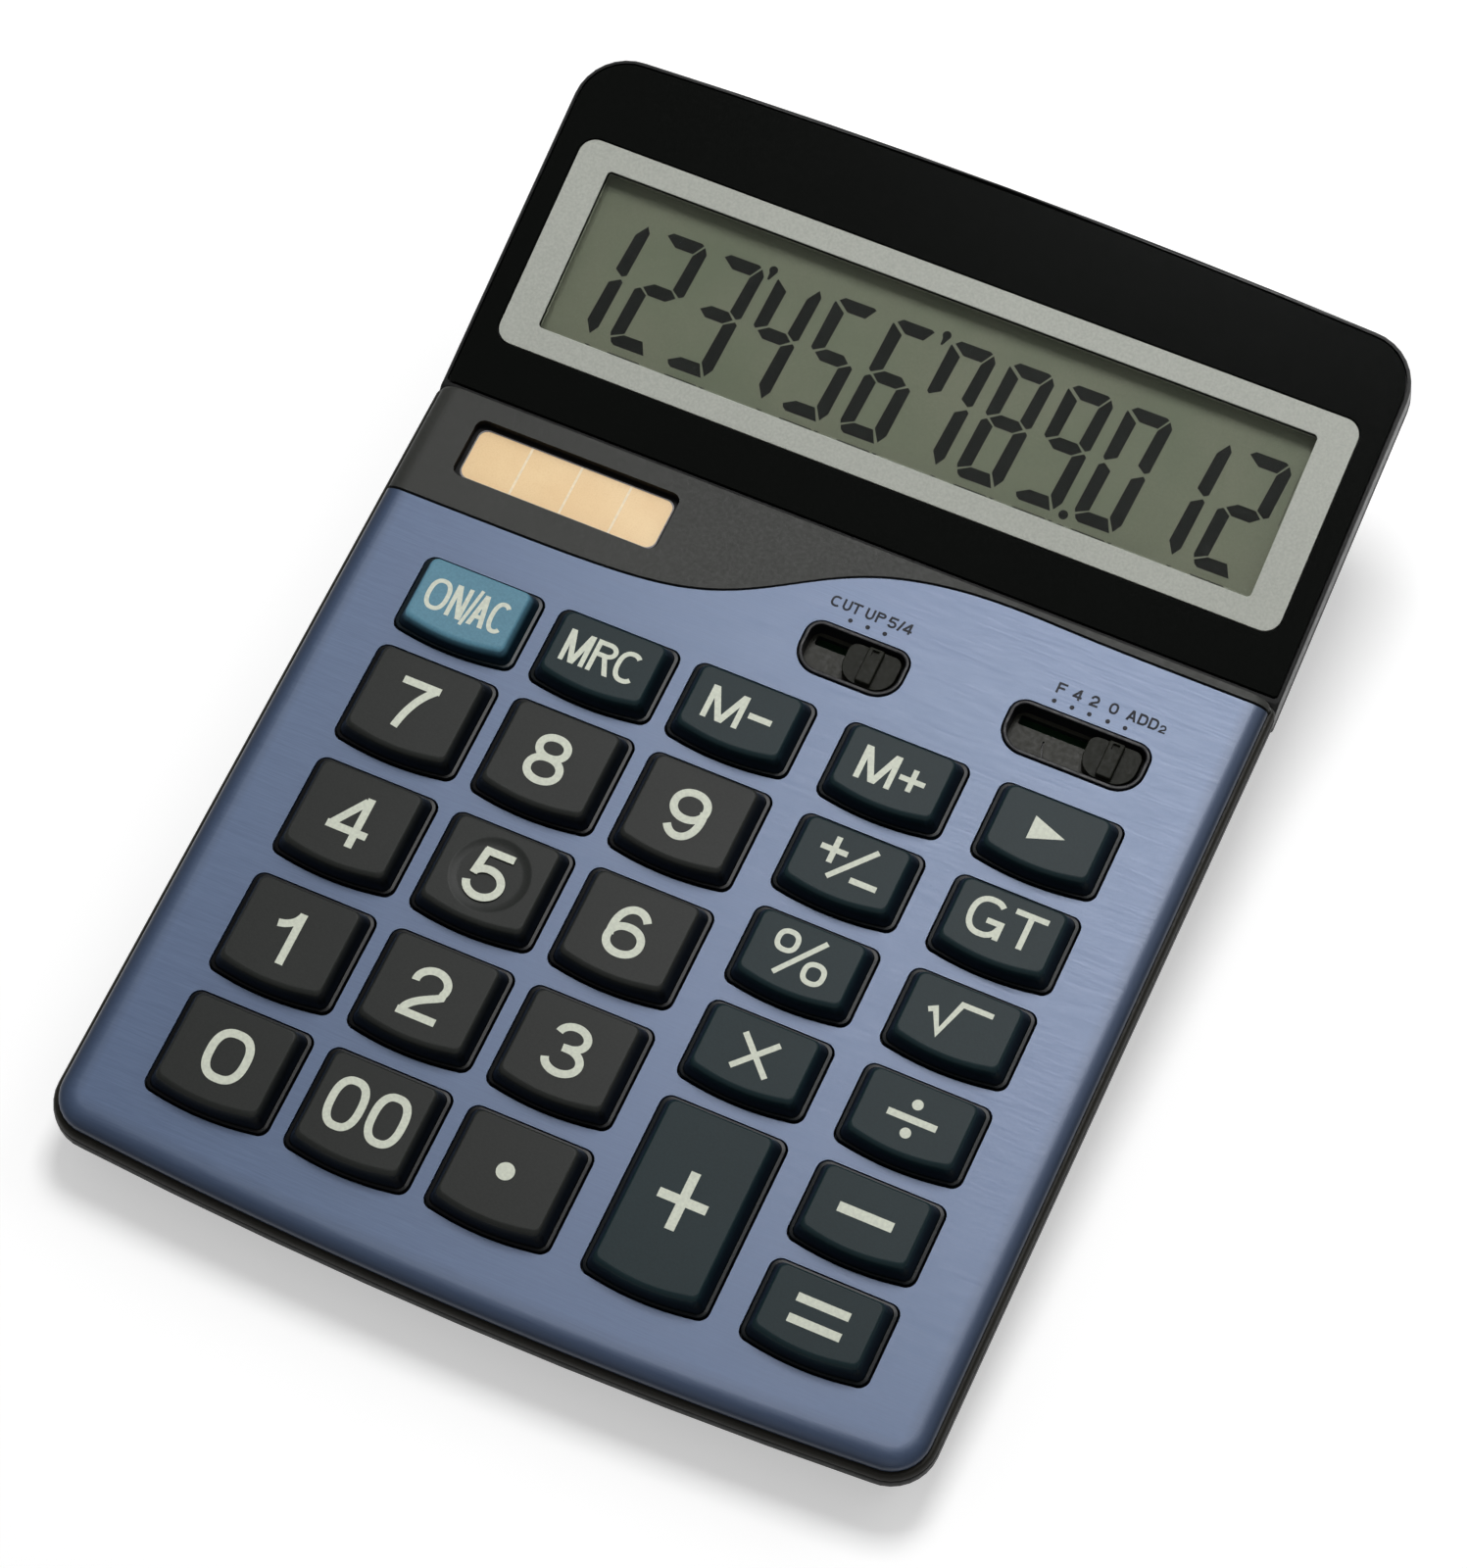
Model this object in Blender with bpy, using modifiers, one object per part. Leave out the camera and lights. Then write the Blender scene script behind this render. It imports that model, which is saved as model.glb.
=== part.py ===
"""Desktop calculator with a tilting display head, built piece by piece in metres, +Z up.

Three frames carry the pieces.  The base frame is level and stands on the table.  The case
frame is turned up by the slope of the key plate: x runs right, y up the plate, z out of it,
and zero is the far edge of the holes of keys 7, 8 and 9.  The head frame lies on the hinge
axis of the display and is turned up again by the display's tilt.
"""
import math

import bmesh
import bpy
from mathutils import Matrix

# Slopes and the stand of the whole object
PLATE_SLOPE = math.radians(5.0)
HEAD_TILT = math.radians(13.0)
FOOT_HEIGHT = 0.0015

# Clearances and drawing fineness
GAP = 0.0003
OVERRUN = 0.003
CORNER_STEPS = 8
KEY_CORNER_STEPS = 2
BOW_STEPS = 8
KEY_BOW_STEPS = 4
ROUND_SEGMENTS = 16
FINE_SEGMENTS = 28
SMOOTH_ANGLE = math.radians(35.0)

# Key holes: number rows in three columns, function rows in two more, and the plate between
HOLE_WIDTH = 0.02242
HOLE_RADIUS = 0.002
HOLE_SAG = 0.0012
NARROW_BRIDGE = 0.00258
WIDE_BRIDGE = 0.00511
NUMBER_DEPTH = 0.02033
NUMBER_BRIDGE = 0.00267
FUNCTION_DEPTH = 0.01605
FUNCTION_BRIDGE = 0.00222
FIRST_ROW_BRIDGE = 0.00205
KEY_BLOCK_SHIFT = -0.00015
COLUMN_BRIDGES = (NARROW_BRIDGE, NARROW_BRIDGE, WIDE_BRIDGE, WIDE_BRIDGE)
KEY_BLOCK_WIDTH = HOLE_WIDTH * (len(COLUMN_BRIDGES) + 1) + sum(COLUMN_BRIDGES)
NUMBER_PITCH = NUMBER_DEPTH + NUMBER_BRIDGE
NUMBER_ROWS = 4
FUNCTION_PITCH = FUNCTION_DEPTH + FUNCTION_BRIDGE
FUNCTION_ROWS = 6
FUNCTION_TOP_Y = FIRST_ROW_BRIDGE + FUNCTION_DEPTH
TALL_DEPTH = FUNCTION_PITCH + FUNCTION_DEPTH
NUMBER_END_Y = NUMBER_BRIDGE - NUMBER_ROWS * NUMBER_PITCH
FUNCTION_END_Y = FUNCTION_TOP_Y + FUNCTION_BRIDGE - FUNCTION_ROWS * FUNCTION_PITCH

# Curved joint line between the metal plate and the plastic strip behind it
CURVE_MARGIN = 0.0093
CURVE_LOW_Y = FUNCTION_TOP_Y + CURVE_MARGIN
CURVE_RISE = 0.0202
CURVE_CENTRE_X = -0.0053
CURVE_LENGTH = 0.0158
CURVE_HUMP = 0.0007
CURVE_HUMP_X = 0.027
CURVE_HUMP_LENGTH = 0.015
CURVE_GAP = 0.0005
CURVE_STEPS = 40

# Lower body: margins round the keys, and the heights of its parting line and band
CASE_SIDE_MARGIN = 0.01376
CASE_FRONT_MARGIN = 0.01307
CASE_REAR_MARGIN = 0.0016
CASE_WIDTH = KEY_BLOCK_WIDTH + 2 * CASE_SIDE_MARGIN
CASE_FRONT_Y = min(NUMBER_END_Y, FUNCTION_END_Y) - CASE_FRONT_MARGIN
CASE_FRONT_SAG = 0.0031
CASE_REAR_Y = CURVE_LOW_Y + CURVE_RISE + CASE_REAR_MARGIN
CASE_CORNER_RADIUS = 0.008
CASE_REAR_RADIUS = 0.001
PARTING_Z = -0.0034
BAND_TOP_Z = -0.004
BAND_BOTTOM_Z = -0.0056
WALL = 0.0022
PARTING_INSET = 0.0001
BAND_EASE = 0.0004
CHAMFER_DEPTH = 0.002
CHAMFER_INSET = 0.0018
TUB_DRAFT = 0.001
FLOOR_EDGE = 0.0008
REAR_WALL = 0.0046
TOP_WALL_INSET = 0.0003
TOP_RIM_INSET = 0.0006

# Metal face plate over the top case, rolled down at its sides and front
PLATE_THICKNESS = 0.0008
PLATE_EDGE_INSET = 0.00115
PLATE_DROP = 0.002
PLATE_ROLL_SHARES = ((0.0, 0.0), (0.2, 0.0), (0.5, 0.12), (0.82, 0.42), (1.0, 1.0))
PLATE_ROLL_WIDTH = 0.00295
DECK_THICKNESS = 0.0018

# Lip of the top case over the display hinge
LIP_HEIGHT = 0.00045
LIP_WIDTH = 0.0006

# Keys
KEY_CLEARANCE = 0.00035
KEY_HEIGHT = 0.0037
KEY_SHOULDER = 0.0004
KEY_SIDE_INSET = 0.0024
KEY_FAR_INSET = 0.002
KEY_NEAR_INSET = 0.0015
KEY_EDGE = 0.0003
KEY_FLANGE_REACH = 0.0009
KEY_FLANGE_THICKNESS = 0.0008
DISH_RADIUS = 0.0061
DISH_DEPTH = 0.0003
DISH_SLOPE = 0.0009

# Places of the screws that close the body, beside the key block
CASE_BOSS_RADIUS = 0.004
CASE_SCREW_SIDE_STEP = 0.00386
CASE_SCREW_X = KEY_BLOCK_WIDTH / 2 + CASE_SCREW_SIDE_STEP
CASE_SCREW_FRONT_INSET = 0.0144
CASE_SCREW_REAR_INSET = 0.0222

# Rubber keypad and main circuit board under the keys, and the room below the board
DOME_RADIUS = 0.0048
DOME_TOP_RADIUS = 0.0032
DOME_HEIGHT = 0.0027
SHEET_THICKNESS = 0.0008
SHEET_FRONT_MARGIN = 0.0119
SHEET_REAR_MARGIN = 0.0014
SHEET_SIDE_STEP = 0.0005
BOARD_THICKNESS = 0.0014
BOARD_SIDE_GAP = 0.0006
BOARD_FRONT_MARGIN = 0.0079
BOARD_REAR_MARGIN = 0.0112
BOARD_ROOM = 0.002
BOARD_HALF_WIDTH = CASE_SCREW_X - CASE_BOSS_RADIUS - BOARD_SIDE_GAP
BOARD_FRONT_Y = CASE_FRONT_Y + BOARD_FRONT_MARGIN
BOARD_REAR_Y = CASE_REAR_Y - BOARD_REAR_MARGIN
SHEET_HALF_WIDTH = BOARD_HALF_WIDTH - SHEET_SIDE_STEP
SHEET_FRONT_Y = CASE_FRONT_Y + SHEET_FRONT_MARGIN
SHEET_REAR_Y = FUNCTION_TOP_Y + SHEET_REAR_MARGIN
BOARD_CORNER = 0.002
CHIP_RADIUS = 0.0075
CHIP_THICKNESS = 0.0014
CHIP_SHARES = (0.06, 0.21)

# Slide switches: places of the slots in the plate, and their knobs
SLOT_FAR_RADIUS = 0.003
SLOT_NEAR_RADIUS = 0.0048
SLOT_RIM = 0.001
SLOT_RIM_PROUD = 0.0003
SLOT_FLOOR_Z = -0.003
GUIDE_FLANGE_REACH = 0.0015
GUIDE_FLANGE_THICKNESS = 0.001
SWITCH_PITCH = 0.00315
ROUNDING_STEPS = 2
DECIMAL_STEPS = 4
SLOT_SCREW_GAP = 0.0052
SLOT_SPACING = 0.0179
SLOT_MARGIN = 0.00505
SLOT_DEPTH = 0.0102
SLOT_LEFT_ROOM = 0.0017
SLOT_RIGHT_ROOM = 0.0049
RIDGE_WIDTH = 0.0029
RIDGE_DEPTH = 0.0069
RIDGE_TOP_Z = 0.0006
LOBE_REACH = 0.0033
LOBE_DEPTH = 0.0073
LOBE_NEAR_RADIUS = 0.0036
LOBE_FAR_RADIUS = 0.0016
LOBE_TOP_Z = -0.0006
SLIDER_THICKNESS = 0.0009
STEM_WIDTH = 0.002
STEM_DEPTH = 0.0012
STEM_BEHIND = 0.0025

# Solar cell behind its opening in the plastic strip
SOLAR_SIDE_MARGIN = 0.01
SOLAR_NEAR_MARGIN = 0.0063
SOLAR_WIDTH = 0.03815
SOLAR_DEPTH = 0.0116
SOLAR_LEFT = -CASE_WIDTH / 2 + SOLAR_SIDE_MARGIN
SOLAR_RIGHT = SOLAR_LEFT + SOLAR_WIDTH
SOLAR_NEAR = CURVE_LOW_Y + SOLAR_NEAR_MARGIN
SOLAR_FAR = SOLAR_NEAR + SOLAR_DEPTH
SOLAR_RADIUS = 0.0017
SOLAR_RECESS = 0.0015
SOLAR_MARGIN = 0.0005
SOLAR_THICKNESS = 0.0012

# Screws that close the body and their bosses, and staked posts that hold the board
TOP_BOSS_RADIUS = 0.0024
BOSS_MEET_Z = -0.008
SCREW_LEDGE = 0.002
SCREW_HEAD_RADIUS = 0.0026
SCREW_HEAD_THICKNESS = 0.0012
SCREW_RADIUS = 0.0012
SCREW_GRIP = 0.004
BOARD_POST_FRONT_INSET = 0.0102
BOARD_POST_REAR_STEP = 0.0054
BOARD_POST_RADIUS = 0.0016
STAKE_RADIUS = 0.0008
STAKE_HEAD_RADIUS = 0.0017
STAKE_HEAD_THICKNESS = 0.0008

# Rubber feet under the body
FOOT_RADIUS = 0.005
FOOT_RECESS = 0.0009
FOOT_SIDE_INSET = 0.0195
FOOT_FRONT_INSET = 0.0179
FOOT_REAR_INSET = 0.0082

# Button cell, its contacts, and the coin-slot cover under it
BATTERY_SIDE_INSET = 0.0435
BATTERY_REAR_INSET = 0.0312
BATTERY_PLACE = (-CASE_WIDTH / 2 + BATTERY_SIDE_INSET, CASE_REAR_Y - BATTERY_REAR_INSET)
CELL_RADIUS = 0.0058
CELL_HEIGHT = 0.00305
COVER_RADIUS = 0.009
COVER_LUG_REACH = 0.0016
COVER_LUG_THICKNESS = 0.001
COVER_LUG_HALF_ANGLE = math.radians(16.0)
COVER_TURN = math.radians(45.0)
COIN_SLOT_WIDTH = 0.002
COIN_SLOT_LENGTH = 0.012
COIN_SLOT_DEPTH = 0.001
HOLDER_GAP = 0.0006
HOLDER_WALL = 0.0014
CONTACT_WIDTH = 0.004
CONTACT_THICKNESS = 0.0004

# Display head: outline about the hinge axis, shell heights and nose
HEAD_SIDE_STEP = 0.0002
HEAD_HALF_WIDTH = CASE_WIDTH / 2 - HEAD_SIDE_STEP
HEAD_REACH = 0.0667
HEAD_SAG = 0.00203
HEAD_CORNER_RADIUS = 0.0095
NOSE_RADIUS = 0.005
NOSE_CORNER_RADIUS = 0.0008
HINGE_BEHIND = 0.0031
HINGE_Y = CASE_REAR_Y + HINGE_BEHIND
HINGE_Z = -0.00687
HEAD_PARTING = 0.0003
HEAD_RIM_DROP = 0.00015
HEAD_RIM_EASE = 0.0002
HEAD_BAND_BOTTOM = -0.0016
HEAD_WALL = 0.0018
HEAD_LEVEL_SHARES = (0.06, 0.34, 0.6, 0.8, 0.9)
REAR_TAPER_SHARES = ((1.0, 1.0), (0.88, 0.75), (0.53, 0.37), (0.18, 0.1))
REAR_TAPER_INSET = 0.006
CAVITY_NEAR = 0.0052
SEAT_CLEARANCE = 0.0004

# Display window pieces, seen from the front
FASCIA_THICKNESS = 0.0012
FASCIA_INSET = 0.0009
FASCIA_NEAR = -0.0002
HEAD_DECK_THICKNESS = 0.0014
FRAME_SIDE_MARGIN = 0.0051
FRAME_NEAR = 0.0096
FRAME_FAR_MARGIN = 0.0175
FRAME_SIDE_BAND = 0.0064
FRAME_BAND = 0.0046
FRAME_HALF_WIDTH = HEAD_HALF_WIDTH - FRAME_SIDE_MARGIN
FRAME_FAR = HEAD_REACH - FRAME_FAR_MARGIN
FRAME_RADIUS = 0.003
WINDOW_HALF_WIDTH = FRAME_HALF_WIDTH - FRAME_SIDE_BAND
WINDOW_NEAR = FRAME_NEAR + FRAME_BAND
WINDOW_FAR = FRAME_FAR - FRAME_BAND
WINDOW_RADIUS = 0.0008
PANE_DROP = 0.0002
WINDOW_EASE = 0.0005
GLASS_THICKNESS = 0.0016
GLASS_SIDE_MARGIN = 0.0017
GLASS_NEAR_MARGIN = 0.004
GLASS_FAR_MARGIN = 0.003
STRIP_SIDE_STEP = 0.0078
STRIP_HALF_LENGTH = WINDOW_HALF_WIDTH - STRIP_SIDE_STEP
STRIP_WIDTH = 0.0024
DISPLAY_BOARD_OVERHANG = 0.002
DISPLAY_BOARD_NEAR = 0.0065
DISPLAY_BOARD_DEPTH = 0.0235
DISPLAY_BOARD_HALF_WIDTH = STRIP_HALF_LENGTH + DISPLAY_BOARD_OVERHANG
DISPLAY_BOARD_FAR = DISPLAY_BOARD_NEAR + DISPLAY_BOARD_DEPTH
DISPLAY_BOARD_THICKNESS = 0.0012

# Hinge knuckles on the body, pockets in the nose, pins and ribbon
KNUCKLE_SIDE_INSET = 0.0325
KNUCKLE_X = CASE_WIDTH / 2 - KNUCKLE_SIDE_INSET
KNUCKLE_HALF_WIDTH = 0.006
KNUCKLE_RADIUS = 0.0025
PIN_RADIUS = 0.001
PIN_HALF_LENGTH = 0.01
POCKET_OPEN_ANGLE = math.radians(140.0)
WEB_ANGLE = math.radians(200.0)
WEB_UNDER_ANGLE = math.radians(-70.0)
WEB_DEPTH = 0.0085
RIBBON_HALF_WIDTH = 0.012
RIBBON_THICKNESS = 0.0003
RIBBON_ROOM = 0.002
RIBBON_SLOT_HALF_HEIGHT = 0.0011

BLACK_PLASTIC = ((28, 30, 30), 0.45, 0.0)
GREY_PLASTIC = ((55, 55, 52), 0.5, 0.0)
BLUE_METAL = ((120, 135, 175), 0.35, 0.9)
NUMBER_PLASTIC = ((45, 45, 42), 0.4, 0.0)
FUNCTION_PLASTIC = ((48, 60, 64), 0.4, 0.0)
POWER_PLASTIC = ((75, 130, 155), 0.4, 0.0)
SILVER = ((195, 198, 192), 0.4, 0.6)
STEEL = ((170, 172, 175), 0.3, 1.0)
RUBBER = ((40, 40, 40), 0.85, 0.0)
SILICONE = ((120, 122, 124), 0.8, 0.0)
BOARD_GREEN = ((46, 92, 58), 0.5, 0.0)
SOLAR_AMBER = ((240, 205, 150), 0.15, 0.0)
DISPLAY_GREY = ((135, 138, 118), 0.2, 0.0)
CLEAR = ((225, 230, 230), 0.05, 0.0)
GLOSS_BLACK = ((8, 10, 8), 0.08, 0.0)
SWITCH_GREY = ((60, 60, 54), 0.5, 0.0)
COPPER_FILM = ((170, 110, 60), 0.5, 0.2)

DECK_TOP_Z = -PLATE_THICKNESS - GAP
DECK_BOTTOM_Z = DECK_TOP_Z - DECK_THICKNESS
FLANGE_TOP_Z = DECK_BOTTOM_Z - GAP
FLANGE_BOTTOM_Z = FLANGE_TOP_Z - KEY_FLANGE_THICKNESS
DOME_TOP_Z = FLANGE_BOTTOM_Z - GAP
SHEET_TOP_Z = DOME_TOP_Z - DOME_HEIGHT
BOARD_TOP_Z = SHEET_TOP_Z - SHEET_THICKNESS - GAP
BOARD_BOTTOM_Z = BOARD_TOP_Z - BOARD_THICKNESS
CAVITY_REAR_Y = CASE_REAR_Y - REAR_WALL

FASCIA_TOP = NOSE_RADIUS
RECESS_FLOOR = FASCIA_TOP - FASCIA_THICKNESS - GAP
HEAD_DECK_BOTTOM = RECESS_FLOOR - HEAD_DECK_THICKNESS
GLASS_TOP = HEAD_DECK_BOTTOM - GAP
GLASS_BOTTOM = GLASS_TOP - GLASS_THICKNESS
HEAD_FLOOR = -NOSE_RADIUS + HEAD_WALL
DISPLAY_BOARD_BOTTOM = HEAD_FLOOR + GAP
DISPLAY_BOARD_TOP = DISPLAY_BOARD_BOTTOM + DISPLAY_BOARD_THICKNESS
FRONT_SHELL_BOTTOM = HEAD_PARTING + GAP / 2
REAR_SHELL_TOP = HEAD_PARTING - GAP / 2

FLOOR_OUTER = FOOT_HEIGHT
FLOOR_INNER = FLOOR_OUTER + WALL
PLATE_HEIGHT = (FLOOR_INNER - BOARD_FRONT_Y * math.sin(PLATE_SLOPE)
                - (BOARD_BOTTOM_Z - BOARD_ROOM) * math.cos(PLATE_SLOPE))


def clear_scene():
    """Remove every object, so that the model starts from nothing."""
    for item in list(bpy.data.objects):
        bpy.data.objects.remove(item, do_unlink=True)


def make_collection(name):
    """Add a collection to the scene."""
    group = bpy.data.collections.new(name)
    bpy.context.scene.collection.children.link(group)
    return group


def linear(channel):
    """Linear value of one 8-bit screen colour channel."""
    value = channel / 255
    if value <= 0.04045:
        return value / 12.92
    return ((value + 0.055) / 1.055) ** 2.4


def make_material(name, finish):
    """Principled material from a screen colour, a roughness and a metallic value."""
    colour, roughness, metallic = finish
    material = bpy.data.materials.new(name)
    material.use_nodes = True
    shader = material.node_tree.nodes["Principled BSDF"]
    shader.inputs["Base Color"].default_value = (*[linear(channel) for channel in colour], 1.0)
    shader.inputs["Roughness"].default_value = roughness
    shader.inputs["Metallic"].default_value = metallic
    return material


def make_frame(name, parent, location, turn):
    """Empty that carries pieces, turned about its x axis."""
    frame = bpy.data.objects.new(name, None)
    frame.parent = parent
    frame.location = location
    frame.rotation_euler = (turn, 0.0, 0.0)
    PARTS.objects.link(frame)
    return frame


def finish_mesh(name, body):
    """Turn a bmesh into mesh data with its faces pointing out and round sides smooth."""
    bmesh.ops.recalc_face_normals(body, faces=body.faces)
    mesh = bpy.data.meshes.new(name)
    body.to_mesh(mesh)
    body.free()
    mesh.shade_smooth()
    mesh.set_sharp_from_angle(angle=SMOOTH_ANGLE)
    return mesh


def make_piece(name, body, frame, finish, location=(0.0, 0.0, 0.0)):
    """Named piece on a frame, with its own material."""
    mesh = finish_mesh(name, body)
    mesh.materials.append(make_material(name + "_finish", finish))
    piece = bpy.data.objects.new(name, mesh)
    piece.parent = frame
    piece.location = location
    PARTS.objects.link(piece)
    return piece


def make_cutter(name, body, frame, location=(0.0, 0.0, 0.0)):
    """Hidden helper body for Boolean modifiers."""
    cutter = bpy.data.objects.new(name, finish_mesh(name, body))
    cutter.parent = frame
    cutter.location = location
    cutter.hide_render = True
    cutter.display_type = "WIRE"
    CUTTERS.objects.link(cutter)
    return cutter


def combine(piece, helper, operation):
    """Add a Boolean modifier that joins, cuts or trims the piece by the helper."""
    modifier = piece.modifiers.new(helper.name, "BOOLEAN")
    modifier.object = helper
    modifier.operation = operation


def outline(left, right, near, far, near_radius, far_radius, near_sag=0.0, far_sag=0.0,
            corner_steps=CORNER_STEPS, bow_steps=BOW_STEPS):
    """Plan outline, anticlockwise: straight sides, round corners, and near and far edges
    that bow outwards as parabolas, with their ends back from the middle by the sag."""
    middle = (left + right) / 2
    half = (right - left) / 2

    def near_y(x):
        return near + near_sag * ((x - middle) / half) ** 2

    def far_y(x):
        return far - far_sag * ((x - middle) / half) ** 2

    corners = (
        (right - near_radius, near_y(right - near_radius) + near_radius, near_radius, 270),
        (right - far_radius, far_y(right - far_radius) - far_radius, far_radius, 0),
        (left + far_radius, far_y(left + far_radius) - far_radius, far_radius, 90),
        (left + near_radius, near_y(left + near_radius) + near_radius, near_radius, 180),
    )
    points = []
    for index, (x, y, radius, start) in enumerate(corners):
        for step in range(corner_steps + 1):
            angle = math.radians(start + 90 * step / corner_steps)
            points.append((x + radius * math.cos(angle), y + radius * math.sin(angle)))
        if index == 1 and far_sag:
            points += bow(points[-1][0], corners[2][0], far_y, bow_steps)
        if index == 3 and near_sag:
            points += bow(points[-1][0], corners[0][0], near_y, bow_steps)
    return points


def bow(start, end, height, steps):
    """Points strictly between two ends of a bowed edge."""
    inner = [start + (end - start) * step / steps for step in range(1, steps)]
    return [(x, height(x)) for x in inner]


def key_outline(left, right, near, far, radius):
    """Outline of a key or its hole: a straight far edge and a bowed near edge."""
    return outline(left, right, near, far, radius, radius, near_sag=HOLE_SAG,
                   corner_steps=KEY_CORNER_STEPS, bow_steps=KEY_BOW_STEPS)


def level(points, height):
    """Lift plan points to one height."""
    return [(x, y, height) for x, y in points]


def across(points, x):
    """Stand a side profile of y and z up at one x."""
    return [(x, y, z) for y, z in points]


def add_loft(body, rings, closed_top=True, closed_bottom=True):
    """Skin a row of rings that have the same number of points, and close the ends."""
    rows = [[body.verts.new(point) for point in ring] for ring in rings]
    for lower, upper in zip(rows, rows[1:]):
        for index, vertex in enumerate(lower):
            after = (index + 1) % len(lower)
            body.faces.new((vertex, lower[after], upper[after], upper[index]))
    if closed_bottom:
        body.faces.new(reversed(rows[0]))
    if closed_top:
        body.faces.new(rows[-1])


def add_prism(body, points, low, high):
    """Upright prism on a plan outline."""
    add_loft(body, (level(points, low), level(points, high)))


def add_cylinder(body, centre, low, high, radius, top_radius=None, segments=ROUND_SEGMENTS):
    """Upright cylinder or cone between two heights."""
    place = Matrix.Translation((centre[0], centre[1], (low + high) / 2))
    bmesh.ops.create_cone(body, cap_ends=True, segments=segments, radius1=radius,
                          radius2=radius if top_radius is None else top_radius,
                          depth=high - low, matrix=place)


def add_bar(body, x_low, x_high, y, z, radius, segments=ROUND_SEGMENTS):
    """Cylinder lying along x."""
    place = Matrix.Translation(((x_low + x_high) / 2, y, z)) @ Matrix.Rotation(math.pi / 2, 4, "Y")
    bmesh.ops.create_cone(body, cap_ends=True, segments=segments, radius1=radius,
                          radius2=radius, depth=x_high - x_low, matrix=place)


def add_box(body, x_low, x_high, y_low, y_high, z_low, z_high):
    """Box between two corners."""
    size = Matrix.Diagonal((x_high - x_low, y_high - y_low, z_high - z_low, 1.0))
    centre = ((x_low + x_high) / 2, (y_low + y_high) / 2, (z_low + z_high) / 2)
    bmesh.ops.create_cube(body, size=1.0, matrix=Matrix.Translation(centre) @ size)


def case_outline(inset, rear):
    """Plan outline of the body, drawn in by an inset at its sides and front."""
    half = CASE_WIDTH / 2 - inset
    return outline(-half, half, CASE_FRONT_Y + inset, rear,
                   max(CASE_CORNER_RADIUS - inset, CASE_REAR_RADIUS), CASE_REAR_RADIUS,
                   near_sag=CASE_FRONT_SAG)


def under_ring(inset, lift, rear):
    """Outline of the body on a level plane, a lift above its underside."""
    ring = []
    for x, y in case_outline(inset, rear):
        height = FLOOR_OUTER + lift - PLATE_HEIGHT - y * math.sin(PLATE_SLOPE)
        ring.append((x, y, height / math.cos(PLATE_SLOPE)))
    return ring


def joint_curve(x):
    """Height up the plate of the curved joint line: a soft step with a low hump."""
    step = 0.5 + 0.5 * math.tanh((x - CURVE_CENTRE_X) / CURVE_LENGTH)
    hump = math.exp(-((x - CURVE_HUMP_X) / CURVE_HUMP_LENGTH) ** 2)
    return CURVE_LOW_Y + CURVE_RISE * step + CURVE_HUMP * hump


def curve_region(shift):
    """Plan outline of everything behind the joint line moved by a shift."""
    half = CASE_WIDTH / 2 + OVERRUN
    xs = [-half + 2 * half * step / CURVE_STEPS for step in range(CURVE_STEPS + 1)]
    points = [(x, joint_curve(x) + shift) for x in xs]
    beyond = CASE_REAR_Y + 2 * OVERRUN
    return points + [(half, beyond), (-half, beyond)]


def plate_rings(rear, inset=0.0, drop=0.0):
    """Rolled outer surface of the face plate, from its lower edge up to the flat."""
    rings = []
    for rise, run in PLATE_ROLL_SHARES:
        height = -PLATE_DROP + rise * PLATE_DROP - drop
        rings.append(level(case_outline(PLATE_EDGE_INSET + run * PLATE_ROLL_WIDTH + inset, rear),
                           height))
    return rings


def column_left(column):
    """Left edge of a column of key holes."""
    start = KEY_BLOCK_SHIFT - KEY_BLOCK_WIDTH / 2
    return start + column * HOLE_WIDTH + sum(COLUMN_BRIDGES[:column])


def key_hole(column, far, depth):
    """Left, right, near and far edge of a key hole."""
    left = column_left(column)
    return (left, left + HOLE_WIDTH, far - depth, far)


def switch_slot(right, steps):
    """Left, right, near and far edge of a switch slot, as wide as its knob's travel needs."""
    width = SLOT_LEFT_ROOM + steps * SWITCH_PITCH + LOBE_REACH + RIDGE_WIDTH + SLOT_RIGHT_ROOM
    near = FUNCTION_TOP_Y + SLOT_MARGIN
    return (right - width, right, near, near + SLOT_DEPTH)


def board_post_places():
    """Posts between key columns at the front, and beside the slots at the rear."""
    left = column_left(1) - NARROW_BRIDGE / 2
    right = column_left(4) - WIDE_BRIDGE / 2
    between = (ROUNDING_SLOT[1] + DECIMAL_SLOT[0]) / 2
    front = CASE_FRONT_Y + BOARD_POST_FRONT_INSET
    rear = FUNCTION_TOP_Y + BOARD_POST_REAR_STEP
    return ((left, front), (right, front), (left, rear), (between, rear))


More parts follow.
